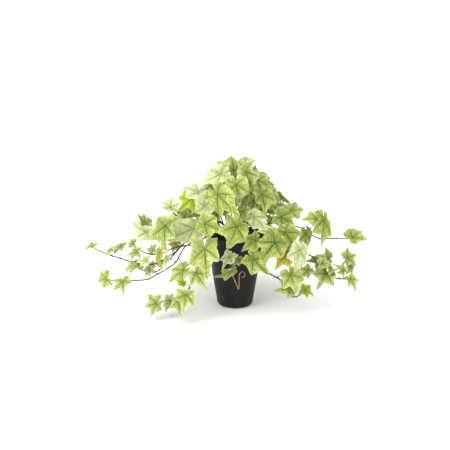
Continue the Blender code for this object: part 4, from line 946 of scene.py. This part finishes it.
def leaf_material():
    n = Net("ivy_blade")
    x, y, edge = n.split(n.attr("blade"))
    own, side, size = n.split(n.attr("leaf"))
    dark, own2, own3 = n.split(n.attr("veins"))
    inner, outer = n.attr("inner"), n.attr("outer")
    ay = n.math("ABSOLUTE", y)

    def ray(w):
        if w == 0:
            return x
        return n.math("ADD", n.math("MULTIPLY", x, math.cos(w)), n.math("MULTIPLY", ay, math.sin(w)))

    front = n.math("MAXIMUM", ray(LOBES[0]), ray(LOBES[1]))
    low = ray(LOBES[2])
    t = n.math("MAXIMUM", front, low)
    basal = n.span(n.math("SUBTRACT", low, front), 0.0, 0.02)
    rr = n.math("ADD", n.math("MULTIPLY", x, x), n.math("MULTIPLY", y, y))
    c = n.math("SQRT", n.math("MAXIMUM", n.math("SUBTRACT", rr, n.math("MULTIPLY", t, t)), 0.0))
    spot = n.join(n.math("ADD", x, n.math("MULTIPLY", own, 31.0)), y, n.math("MULTIPLY", own2, 17.0))
    broad = n.noise(spot, 3.6, 3.0, 0.55)
    patch = n.noise(spot, 9.0, 4.0, 0.6, 0.4)
    fine = n.noise(spot, 42.0, 3.0, 0.6)
    bent = n.math("ADD", c, n.math("MULTIPLY", n.math("SUBTRACT", patch, 0.5), 0.02))
    width = n.math("ADD", n.math("MULTIPLY", n.math("SUBTRACT", 1.1, t), 0.021), 0.004)
    main = n.math("MULTIPLY", n.span(bent, n.math("MULTIPLY", width, 0.3), width, 1.0, 0.0), n.span(t, 0.35, 0.95, 1.0, 0.40))
    main = n.math("MULTIPLY", main, n.math("SUBTRACT", 1.0, n.math("MULTIPLY", basal, n.span(t, 0.08, 0.30, 0.25, 0.70))))
    radius = n.math("SQRT", rr)
    heart = n.span(n.math("ADD", radius, n.math("MULTIPLY", n.math("SUBTRACT", patch, 0.5), 0.35)), 0.02, 0.46, 1.0, 0.0)
    along = n.math("MULTIPLY", n.span(n.math("ADD", c, n.math("MULTIPLY", n.math("SUBTRACT", patch, 0.5), 0.10)), 0.0, 0.13, 1.0, 0.0), n.span(t, 0.10, 0.90, 0.8, 0.0))
    halo = n.math("MAXIMUM", heart, along)
    phase = n.math("ADD", n.math("MULTIPLY", n.math("SUBTRACT", t, n.math("MULTIPLY", c, 0.75)), 7.0),
                   n.math("ADD", n.math("MULTIPLY", broad, 0.9), own3))
    saw = n.math("ABSOLUTE", n.math("SUBTRACT", n.math("FRACT", phase), 0.5))
    second = n.math("MULTIPLY", n.span(saw, 0.02, 0.15, 1.0, 0.0), n.span(edge, 0.0, 0.06))
    second = n.math("MULTIPLY", second, n.span(c, 0.0, 0.34, 1.0, 0.35))
    mesh = n.span(n.cells(spot, 13.0), 0.0, 0.13, 1.0, 0.0)
    mesh = n.math("MULTIPLY", mesh, n.span(edge, 0.0, 0.08))
    # The green runs out along the veins and breaks up into pale patches towards the margin.
    zone = n.math("ADD", n.math("MULTIPLY", edge, 1.3), n.math("MULTIPLY", n.math("SUBTRACT", broad, 0.5), 2.4))
    zone = n.math("ADD", zone, n.math("ADD", n.math("MULTIPLY", halo, 0.35), 0.06))
    middle = n.span(zone, -0.12, 0.40)
    colour = n.mix(middle, outer, inner)
    cream = n.math("MULTIPLY", n.span(patch, 0.50, 0.58), n.span(halo, 0.0, 0.6, 0.62, 0.05))
    colour = n.mix(cream, colour, n.scaled(outer, (1.05, 1.04, 1.18)))
    grey = n.math("MULTIPLY", n.span(patch, 0.34, 0.46, 0.55, 0.0), middle)
    colour = n.mix(grey, colour, n.scaled(inner, (0.66, 0.80, 0.72)))
    deep = n.scaled(inner, (0.40, 0.55, 0.36))
    small = n.span(size, 0.45, 0.80, 0.80, 0.50)
    colour = n.mix(n.math("MULTIPLY", n.math("MULTIPLY", halo, dark), small), colour, deep)
    colour = n.mix(n.math("MULTIPLY", n.math("MULTIPLY", mesh, dark), 0.38), colour, deep)
    fleck = n.noise(spot, 22.0, 4.0, 0.7, 0.6)
    colour = n.mix(n.span(fleck, 0.36, 0.50, 0.50, 0.0), colour, n.scaled(inner, (0.62, 0.80, 0.60)))
    colour = n.mix(n.span(fleck, 0.53, 0.64, 0.0, 0.50), colour, n.scaled(outer, (1.16, 1.10, 1.35)))
    colour = n.mix(n.math("MULTIPLY", n.math("MULTIPLY", second, dark), 0.55), colour, n.scaled(inner, (0.36, 0.48, 0.32)))
    colour = n.mix(n.math("MULTIPLY", n.math("MULTIPLY", main, dark), 0.94), colour, n.scaled(inner, (0.13, 0.22, 0.13)))
    rimline = n.span(edge, 0.0, 0.012, 0.22, 0.0)
    colour = n.mix(rimline, colour, n.scaled(outer, (1.05, 1.0, 0.80)))
    below = n.mix(0.55, n.scaled(colour, (1.0, 0.98, 1.12)), n.scaled(outer, (0.92, 0.92, 0.98)))
    colour = n.mix(side, colour, below)
    n.put(n.shader.inputs["Base Color"], colour)
    gloss = n.span(fine, 0.3, 0.7, 0.46, 0.62)
    gloss = n.math("ADD", gloss, n.math("MULTIPLY", side, 0.16))
    n.put(n.shader.inputs["Roughness"], gloss)
    n.set(Specular_IOR_Level=0.22, Subsurface_Weight=0.10, Subsurface_Radius=(0.6, 1.0, 0.25), Subsurface_Scale=0.0012)
    height = n.math("SUBTRACT", n.math("MULTIPLY", fine, 0.25), n.math("MULTIPLY", main, 0.8))
    height = n.math("SUBTRACT", height, n.math("MULTIPLY", second, 0.45))
    height = n.math("SUBTRACT", height, n.math("MULTIPLY", mesh, 0.18))
    flip = n.math("SUBTRACT", 1.0, n.math("MULTIPLY", side, 1.8))
    n.bump(n.math("MULTIPLY", height, flip), 0.8, 0.0008)
    return n.material


# ======================================================================== stems
def stem_material():
    n = Net("ivy_stem")
    along, green, own = n.split(n.attr("bark"))
    spot = n.join(n.math("MULTIPLY", own, 40.0), n.math("MULTIPLY", along, 0.02), n.math("MULTIPLY", own, 9.0))
    object_place = n.place()
    streak = n.noise(object_place, 420.0, 3.0, 0.6)
    mottle = n.noise(object_place, 90.0, 3.0, 0.6)
    old = n.mix(n.span(mottle, 0.3, 0.7), srgb(44, 32, 34), srgb(72, 56, 58))
    young = n.mix(n.span(mottle, 0.3, 0.7), srgb(124, 132, 66), srgb(158, 168, 84))
    colour = n.mix(green, old, young)
    colour = n.mix(n.span(streak, 0.52, 0.68, 0.0, 0.55), colour, n.mix(green, srgb(46, 34, 34), srgb(110, 84, 62)))
    drift = n.noise(spot, 3.0, 2.0)
    colour = n.mix(n.span(drift, 0.35, 0.65, 0.0, 0.22), colour, srgb(104, 84, 82))
    n.put(n.shader.inputs["Base Color"], colour)
    n.put(n.shader.inputs["Roughness"], n.span(streak, 0.3, 0.7, 0.58, 0.80))
    n.set(Specular_IOR_Level=0.22)
    n.bump(n.math("ADD", streak, n.math("MULTIPLY", mottle, 0.6)), 0.5, 0.0003)
    return n.material


def add_stem(skin, vine):
    """The woody shoot: nodes swell where the stalks leave, with a dormant bud in each stalk's angle and a rounded point
    at the growing end.
    """
    rnd = random.Random(vine.name + " bark")
    own = rnd.random()
    step = 2.0
    count = int(vine.end / step)
    rows = [min(vine.end, i * step) for i in range(count + 1)]
    for leaf in vine.leaves:
        rows += [leaf.s - 1.0, leaf.s, leaf.s + 1.0]
    rows = sorted({round(max(0.0, min(vine.end, s)), 2) for s in rows})
    rows = [s for i, s in enumerate(rows) if i == 0 or s - rows[i - 1] > 0.35]
    points, radii, mark = [], [], []
    for s in rows:
        p = line_at(vine.path, s)
        swell = sum(math.exp(-((s - leaf.s) / 1.5) ** 2) for leaf in vine.leaves)
        r = stem_radius(s, vine.total) * (1.08 + 0.05 * math.sin(s * 0.9 + own * 6) + 0.38 * min(1.0, swell))
        wob = 0.22
        p = p + Vector((noise.noise(Vector((s * 0.11, own * 50, 0))), noise.noise(Vector((s * 0.11, own * 50, 7))),
                        noise.noise(Vector((s * 0.11, own * 50, 13))))) * wob
        points.append(p)
        radii.append(r)
        mark.append((s, max(0.0, min(1.0, (s - vine.end + 26) / 30)) * 0.75, own))
    verts, faces = tube(points, radii, 8)
    bark = [m for m in mark for _ in range(8)] + [mark[0], mark[-1]]
    skin.add(verts, faces, bark=bark)
    for leaf in vine.leaves:
        curve_points = stalk_curve(vine.path, leaf.s, leaf.place, 12)
        end = leaf.place.joint - leaf.place.n * (0.15 + 0.003 * leaf.place.length)
        curve_points[-1] = end
        reach = leaf.place.length
        thin = 0.47 + 0.0050 * reach
        wide = []
        for i in range(13):
            t = i / 12
            wide.append(thin * (1 + 0.5 * math.exp(-t * 9) + 0.35 * math.exp(-(1 - t) * 12)))
        verts, faces = tube(curve_points, wide, 7)
        tone = [(leaf.s + 10 * i, 0.08 + 0.62 * (i / 12) ** 2.6, own) for i in range(13)]
        skin.add(verts, faces, bark=[m for m in tone for _ in range(7)] + [tone[0], tone[-1]])
        # a dormant bud in the angle between stalk and shoot
        p = line_at(vine.path, leaf.s)
        way = (curve_points[2] - curve_points[0]).normalized()
        along = line_dir(vine.path, leaf.s)
        out = (way + along * 0.8).normalized()
        start = p + way * 0.6
        bud = [start, start + out * 1.0, start + out * 2.0, start + out * 2.7]
        verts, faces = tube(bud, [0.5, 0.62, 0.42, 0.12], 6)
        skin.add(verts, faces, bark=(leaf.s, 0.55, own))
    # aerial rootlets along the shaded side of the older shoot
    s = STEM_DEPTH + 30 + rnd.uniform(0, 12)
    while s < vine.end - 30:
        for _ in range(rnd.choice((2, 3, 4))):
            p = line_at(vine.path, s + rnd.uniform(-2.5, 2.5))
            d = line_dir(vine.path, s)
            down = Vector((rnd.uniform(-0.5, 0.5), rnd.uniform(-0.5, 0.5), -1))
            down = (down - d * down.dot(d)).normalized()
            long = rnd.uniform(1.0, 2.4)
            bend = Vector((rnd.uniform(-0.4, 0.4), rnd.uniform(-0.4, 0.4), rnd.uniform(-0.3, 0.3)))
            pts = [p + down * 0.5, p + down * (0.5 + long * 0.5) + bend * 0.4, p + down * (0.5 + long) + bend]
            verts, faces = tube(pts, [0.22, 0.17, 0.08], 5)
            skin.add(verts, faces, bark=(s, 0.0, own))
        s += rnd.uniform(10, 26)


def young_tip(skin, vine, blades):
    """Two small folded leaves opening at the end of a shoot."""
    rnd = random.Random(vine.name + " tip")
    end = line_at(vine.path, vine.end)
    d = line_dir(vine.path, vine.end - 1.5)
    for i in range(2):
        out = Vector((rnd.uniform(-1, 1), rnd.uniform(-1, 1), rnd.uniform(0.0, 1)))
        out = (out - d * out.dot(d)).normalized()
        long = rnd.uniform(4.0, 6.5)
        joint = end + d * (0.6 + i * 0.8) + out * 0.5
        tip = joint + (d * 0.9 + out * rnd.uniform(0.3, 0.7)).normalized() * long
        key = f"{vine.name} tip {i}"
        place = Frame(joint, tip, out, rnd.uniform(-20, 20), blade_outline(0.4, key), 0.05, 0.5)
        add_blade(blades, place, key, "b", 0.4)


ivy_blade, ivy_stem = leaf_material(), stem_material()
for vine in vines:
    blades = Skin("blade", "leaf", "inner", "outer", "veins")
    stems = Skin("bark")
    add_stem(stems, vine)
    for leaf in vine.leaves:
        add_blade(blades, leaf.place, leaf.key, leaf.tint, leaf.full)
    young_tip(stems, vine, blades)
    for skin, part, material, sharp in ((stems, "stem", ivy_stem, 60), (blades, "leaves", ivy_blade, 52)):
        made = skin.build(f"{vine.name}_{part}", material, sharp)
        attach(made, "root")
        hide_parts(vine.name)


# ========================================================================== pot
def turned(rows, sides):
    verts, faces, rings = [], [], []
    for r, z in rows:
        if r == 0:
            rings.append([len(verts)])
            verts.append(Vector((0, 0, z)))
            continue
        rings.append(list(range(len(verts), len(verts) + sides)))
        for s in range(sides):
            w = 2 * math.pi * s / sides
            verts.append(Vector((r * math.cos(w), r * math.sin(w), z)))
    for a, b in zip(rings, rings[1:]):
        for s in range(sides):
            n = (s + 1) % sides
            if len(a) == 1:
                faces.append((a[0], b[n], b[s]))
            elif len(b) == 1:
                faces.append((a[s], a[n], b[0]))
            else:
                faces.append((a[s], a[n], b[n], b[s]))
    return verts, faces


def arc(cx, cz, r, start, stop, count):
    """Rows of radius and height along a round, angles in degrees from straight out."""
    return [(cx + r * math.cos(math.radians(start + (stop - start) * i / count)),
             cz + r * math.sin(math.radians(start + (stop - start) * i / count))) for i in range(count + 1)]


def pot_material():
    n = Net("pot_plastic")
    place = n.place()
    x, y, z = n.split(place)
    grain = n.noise(place, 1500.0, 2.0, 0.6)
    cloud = n.noise(place, 26.0, 4.0, 0.6)
    flow = n.noise(n.scaled(place, (1.0, 1.0, 0.12)), 140.0, 3.0, 0.6)
    dust = n.math("MULTIPLY", n.span(n.noise(place, 60.0, 5.0, 0.65), 0.5, 0.75), n.span(z, 0.0, 0.05, 0.30, 0.06))
    worn = n.span(z, 0.1488, 0.1502, 0.0, 0.5)
    colour = n.mix(n.span(cloud, 0.3, 0.7), (0.0060, 0.0062, 0.0064), (0.0105, 0.0107, 0.0108))
    colour = n.mix(dust, colour, (0.060, 0.054, 0.046))
    colour = n.mix(worn, colour, (0.040, 0.040, 0.040))
    n.put(n.shader.inputs["Base Color"], colour)
    rough = n.math("ADD", n.span(cloud, 0.25, 0.75, 0.42, 0.54), n.math("MULTIPLY", dust, 0.4))
    n.put(n.shader.inputs["Roughness"], rough)
    n.set(Specular_IOR_Level=0.20)
    n.bump(n.math("ADD", n.math("MULTIPLY", grain, 0.6), n.math("MULTIPLY", flow, 0.8)), 0.28, 0.00035)
    return n.material


def make_pot():
    band = RIM_R + RIM_BAND_OUT
    zb = POT_H - RIM_BAND_H
    rows = [(0, 1.6), (18.0, 1.6), (20.0, 1.5), (21.2, 0.5), (22.0, 0.0)]
    rows += arc(BASE_R - FOOT_ROUND + 0.6, FOOT_ROUND, FOOT_ROUND, -90, -8, 12)
    foot_r, foot_z = rows[-1]
    for i in range(1, 24):
        t = i / 24
        z = foot_z + (zb - 0.8 - foot_z) * t
        rows.append((foot_r + (pot_outer(zb - 0.8) - foot_r) * t, z))
    rows += [(pot_outer(zb - 0.8), zb - 0.8), (pot_outer(zb) + 0.25, zb - 0.3), (band - 0.45, zb - 0.05), (band - 0.12, zb + 0.12), (band, zb + 0.6)]
    rows += [(band + 0.02, zb + 3.2), (band, POT_H - 1.3)]
    rows += arc(band - 1.0, POT_H - 1.0, 1.0, 15, 90, 5)
    rows += [(RIM_R - WALL + 1.0, POT_H)]
    rows += [(RIM_R - WALL + 0.3, POT_H - 0.25), (RIM_R - WALL, POT_H - 0.9)]
    inner_top = (RIM_R - WALL - 0.2, POT_H - 2.0)
    inner_low = (pot_outer(12) - WALL, 12)
    rows.append(inner_top)
    for i in range(1, 14):
        t = i / 14
        rows.append((inner_top[0] + (inner_low[0] - inner_top[0]) * t, inner_top[1] + (inner_low[1] - inner_top[1]) * t))
    rows += [inner_low, (BASE_R - FOOT_ROUND + 3.5, 4.0), (BASE_R - FOOT_ROUND + 1.5, 3.0), (0, 3.0)]
    verts, faces = turned(rows, 144)
    skin = Skin()
    skin.add(verts, faces)
    pot = skin.build("pot_shell", bpy.data.materials.get("pot_plastic_made") or pot_material(), 34)
    for k in range(6):
        w = math.radians(-70 + 60 * k)
        ax, ay = Vector((math.cos(w), math.sin(w), 0)), Vector((-math.sin(w), math.cos(w), 0))
        slot = []
        for i in range(9):
            q = math.radians(-90 + 180 * i / 8)
            slot.append(ax * (31.5 + 2.9 * math.cos(q)) + ay * (2.9 * math.sin(q)))
        for i in range(9):
            q = math.radians(90 + 180 * i / 8)
            slot.append(ax * (24.5 + 2.9 * math.cos(q)) + ay * (2.9 * math.sin(q)))
        m = len(slot)
        vs = [p + Vector((0, 0, -3)) for p in slot] + [p + Vector((0, 0, 6)) for p in slot]
        fs = [tuple(reversed(range(m))), tuple(range(m, 2 * m))] + [(i, (i + 1) % m, m + (i + 1) % m, m + i) for i in range(m)]
        tool = Skin()
        tool.add(vs, fs)
        knife = tool.build(f"slot_knife_{k}", pot.data.materials[0], 180)
        step = pot.modifiers.new("slot", "BOOLEAN")
        step.operation, step.solver, step.object = "DIFFERENCE", "EXACT", knife
    bpy.context.view_layer.update()
    done = bpy.data.meshes.new_from_object(pot.evaluated_get(bpy.context.evaluated_depsgraph_get()))
    pot.modifiers.clear()
    for k in range(6):
        bpy.data.objects.remove(bpy.data.objects[f"slot_knife_{k}"], do_unlink=True)
    pot.data = done
    done.shade_smooth()
    done.set_sharp_from_angle(angle=math.radians(34))
    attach(pot, "root")
    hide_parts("pot")
    return pot


# ========================================================================= soil
def soil_material():
    n = Net("potting_soil")
    kind, own, wet = n.split(n.attr("crumb"))
    place = n.place()
    coarse = n.noise(place, 160.0, 4.0, 0.65)
    grit = n.noise(place, 900.0, 3.0, 0.65)
    peat = n.mix(n.span(coarse, 0.3, 0.7), (0.007, 0.005, 0.004), (0.032, 0.021, 0.014))
    peat = n.mix(n.span(grit, 0.55, 0.75, 0.0, 0.6), peat, (0.075, 0.050, 0.032))
    bark = n.mix(n.span(coarse, 0.3, 0.7), (0.034, 0.019, 0.011), (0.12, 0.070, 0.038))
    stone = n.mix(n.span(grit, 0.3, 0.7), (0.50, 0.48, 0.44), (0.78, 0.76, 0.72))
    colour = n.mix(n.span(kind, 0.25, 0.26, smooth=False), peat, bark)
    colour = n.mix(n.span(kind, 0.75, 0.76, smooth=False), colour, stone)
    colour = n.mix(n.math("MULTIPLY", own, 0.35), colour, n.scaled(colour, (0.45, 0.42, 0.40)))
    n.put(n.shader.inputs["Base Color"], colour)
    n.put(n.shader.inputs["Roughness"], n.span(grit, 0.3, 0.7, 0.78, 0.98))
    n.set(Specular_IOR_Level=0.25)
    n.bump(n.math("ADD", coarse, n.math("MULTIPLY", grit, 0.5)), 0.8, 0.0012)
    return n.material


def lump(rnd, centre, size, squash):
    """A small angular crumb."""
    verts, faces = [], []
    made = bmesh.new()
    bmesh.ops.create_icosphere(made, subdivisions=1, radius=1.0)
    turn = Matrix.Rotation(rnd.uniform(0, 6.28), 3, "Z") @ Matrix.Rotation(rnd.uniform(-0.5, 0.5), 3, "X")
    for v in made.verts:
        k = size * rnd.uniform(0.72, 1.15)
        verts.append(centre + turn @ Vector((v.co.x * k, v.co.y * k * 0.8, v.co.z * k * squash)))
    for f in made.faces:
        faces.append(tuple(v.index for v in f.verts))
    made.free()
    return verts, faces


def soil_height(x, y):
    p = Vector((x, y, 0))
    h = 1.5 * noise.noise(p * 0.055) + 0.9 * noise.noise(p * 0.19 + Vector((9, 0, 0))) + 0.5 * noise.noise(p * 0.55 + Vector((0, 7, 0)))
    return SOIL_TOP - 1.6 + h - 1.6 * (math.hypot(x, y) / 55) ** 6


def make_soil():
    rnd = random.Random("soil")
    sides = 120
    reach = pot_outer(SOIL_TOP) - WALL - 0.4
    verts, faces, rings = [Vector((0, 0, soil_height(0, 0)))], [], []
    steps = 34
    for i in range(1, steps + 1):
        r = reach * i / steps
        rings.append(list(range(len(verts), len(verts) + sides)))
        for s in range(sides):
            w = 2 * math.pi * s / sides
            x, y = r * math.cos(w), r * math.sin(w)
            verts.append(Vector((x, y, soil_height(x, y) - (0.8 if i == steps else 0))))
    for s in range(sides):
        faces.append((0, rings[0][s], rings[0][(s + 1) % sides]))
    for a, b in zip(rings, rings[1:]):
        for s in range(sides):
            n = (s + 1) % sides
            faces.append((a[s], b[s], b[n], a[n]))
    low = []
    for r, z in ((pot_outer(90) - WALL - 0.4, 90.0), (pot_outer(12) - WALL - 0.6, 12.5), (BASE_R - FOOT_ROUND + 1.2, 4.6)):
        low.append(list(range(len(verts), len(verts) + sides)))
        for s in range(sides):
            w = 2 * math.pi * s / sides
            verts.append(Vector((r * math.cos(w), r * math.sin(w), z)))
    for a, b in zip([rings[-1]] + low, low):
        for s in range(sides):
            n = (s + 1) % sides
            faces.append((a[s], b[s], b[n], a[n]))
    faces.append(tuple(reversed(low[-1])))
    skin = Skin("crumb")
    skin.add(verts, faces, crumb=[(0.0, abs(noise.noise(v * 0.08)), 0.0) for v in verts])
    feet = [vine.path[0] for vine in vines]
    for i in range(620):
        w, r = rnd.uniform(0, 6.283), reach * math.sqrt(rnd.random()) * 0.965
        x, y = r * math.cos(w), r * math.sin(w)
        if min((x - p.x) ** 2 + (y - p.y) ** 2 for p in feet) < 9:
            continue
        pick = rnd.random()
        kind, size = (0.0, rnd.uniform(0.7, 2.0)) if pick < 0.68 else (0.5, rnd.uniform(1.0, 2.8)) if pick < 0.90 else (1.0, rnd.uniform(0.6, 1.5))
        squash = 0.45 if kind == 0.5 else 0.85
        z = min(soil_height(x, y) + size * squash * 0.35, SOIL_TOP + 2.0)
        verts, faces = lump(rnd, Vector((x, y, z)), size, squash)
        skin.add(verts, faces, crumb=(kind, rnd.random(), 0.0))
    # a few old leaf stalks and fibres lying on the peat
    for i in range(26):
        w, r = rnd.uniform(0, 6.283), reach * math.sqrt(rnd.random()) * 0.80
        x, y = r * math.cos(w), r * math.sin(w)
        turn = rnd.uniform(0, 6.283)
        long = rnd.uniform(4, 13)
        pts = []
        for j in range(5):
            q = (j / 4 - 0.5) * long
            px = x + q * math.cos(turn) + 0.09 * q * q * math.sin(turn) / long * 4
            py = y + q * math.sin(turn) - 0.09 * q * q * math.cos(turn) / long * 4
            if math.hypot(px, py) < reach - 1.5:
                pts.append(Vector((px, py, soil_height(px, py) + 0.5)))
        if len(pts) > 2:
            verts, faces = tube(pts, [0.32] * len(pts), 5)
            skin.add(verts, faces, crumb=(0.5, rnd.random(), 0.0))
    made = skin.build("soil_peat", soil_material(), 55)
    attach(made, "root")
    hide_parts("soil")


# ================================================================== dry rootlet
def make_rootlet():
    n = Net("dry_rootlet")
    place = n.place()
    fibre = n.noise(place, 700.0, 3.0, 0.6)
    tone = n.noise(place, 150.0, 2.0, 0.5)
    colour = n.mix(n.span(tone, 0.35, 0.65), srgb(158, 128, 88), srgb(212, 182, 134))
    colour = n.mix(n.span(fibre, 0.55, 0.72, 0.0, 0.5), colour, srgb(104, 78, 50))
    n.put(n.shader.inputs["Base Color"], colour)
    n.put(n.shader.inputs["Roughness"], n.span(fibre, 0.3, 0.7, 0.65, 0.9))
    n.set(Specular_IOR_Level=0.3)
    n.bump(fibre, 0.6, 0.0003)
    way = [at(232.4, 271.2, 73), at(233.0, 276.0, 71.5), at(235.2, 281.5, 68), at(237.4, 286.5, 65), at(238.5, 289.5, 63),
           at(239.1, 286.0, 64), at(239.0, 279.5, 67), at(239.6, 274.2, 70), at(241.4, 271.8, 72), at(244.0, 272.4, 73),
           at(245.0, 274.8, 73.5), at(243.6, 277.2, 73), at(241.6, 277.0, 74.5)]
    rnd = random.Random("rootlet")
    line = smooth_line(way, 1.0)
    count = len(line)
    radii = [(0.80 - 0.32 * i / count) * (0.92 + 0.16 * noise.noise(Vector((i * 0.35, 3, 0)))) for i in range(count)]
    points = [p + Vector((noise.noise(Vector((i * 0.3, 0, 0))), noise.noise(Vector((i * 0.3, 5, 0))), noise.noise(Vector((i * 0.3, 9, 0))))) * 0.18
              for i, p in enumerate(line)]
    skin = Skin()
    skin.add(*tube(points, radii, 10))
    for i in range(6, count - 4, 9):
        d = (points[i + 1] - points[i - 1]).normalized()
        out = Vector((rnd.uniform(-1, 1), rnd.uniform(-0.6, 0.6), rnd.uniform(-0.8, 0.3)))
        out = (out - d * out.dot(d)).normalized()
        long = rnd.uniform(0.8, 1.9)
        hair = [points[i], points[i] + out * (0.5 + long * 0.5) + d * 0.3, points[i] + out * (0.5 + long) + d * 0.9]
        skin.add(*tube(hair, [0.26, 0.18, 0.08], 6))
    made = skin.build("dry_rootlet_curl", n.material, 60)
    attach(made, "root")
    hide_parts("dry_rootlet")


make_pot()
make_soil()
make_rootlet()


# ============================================================ floor, light, eye
def make_stage():
    mesh = bpy.data.meshes.new("floor")
    reach = 40.0
    mesh.from_pydata([(-reach, -reach, 0), (reach, -reach, 0), (reach, reach, 0), (-reach, reach, 0)], [], [(0, 1, 2, 3)])
    floor = bpy.data.objects.new("floor", mesh)
    bpy.context.scene.collection.objects.link(floor)
    paper = Net("floor_paper")
    paper.set(Base_Color=(0.96, 0.96, 0.96), Roughness=0.95, Specular_IOR_Level=0.1)
    mesh.materials.append(paper.material)
    world = bpy.data.worlds.new("studio")
    world.use_nodes = True
    back = world.node_tree.nodes["Background"]
    back.inputs[0].default_value = (1.0, 1.0, 1.0, 1.0)
    back.inputs[1].default_value = 1.14
    bpy.context.scene.world = world

    sun = bpy.data.lights.new("key", "SUN")
    sun.energy, sun.angle = 1.7, math.radians(48)
    made = bpy.data.objects.new("key", sun)
    made.location = (-1.5, -2.0, 2.4)
    made.rotation_euler = Vector((0.52, 0.62, -1.0)).to_track_quat("-Z", "Y").to_euler()
    bpy.context.scene.collection.objects.link(made)
    box = bpy.data.lights.new("side", "AREA")
    box.energy, box.shape, box.size, box.size_y = 13.0, "RECTANGLE", 0.8, 1.2
    side = bpy.data.objects.new("side", box)
    side.location = (-1.5, -1.25, 0.75)
    side.rotation_euler = (Vector((0.0, 0.0, 0.10)) - side.location).to_track_quat("-Z", "Y").to_euler()
    bpy.context.scene.collection.objects.link(side)
    bpy.context.scene.view_settings.view_transform = "Standard"
    bpy.context.scene.view_settings.look = "None"


def make_camera():
    data = bpy.data.cameras.new("camera")
    data.lens, data.sensor_width = 85.0, 36.0
    data.clip_start, data.clip_end = 0.05, 200.0
    made = bpy.data.objects.new("camera", data)
    made.location = EYE * MM
    made.rotation_euler = LOOK.to_track_quat("-Z", "Y").to_euler()
    bpy.context.scene.collection.objects.link(made)
    bpy.context.scene.camera = made


make_stage()
make_camera()
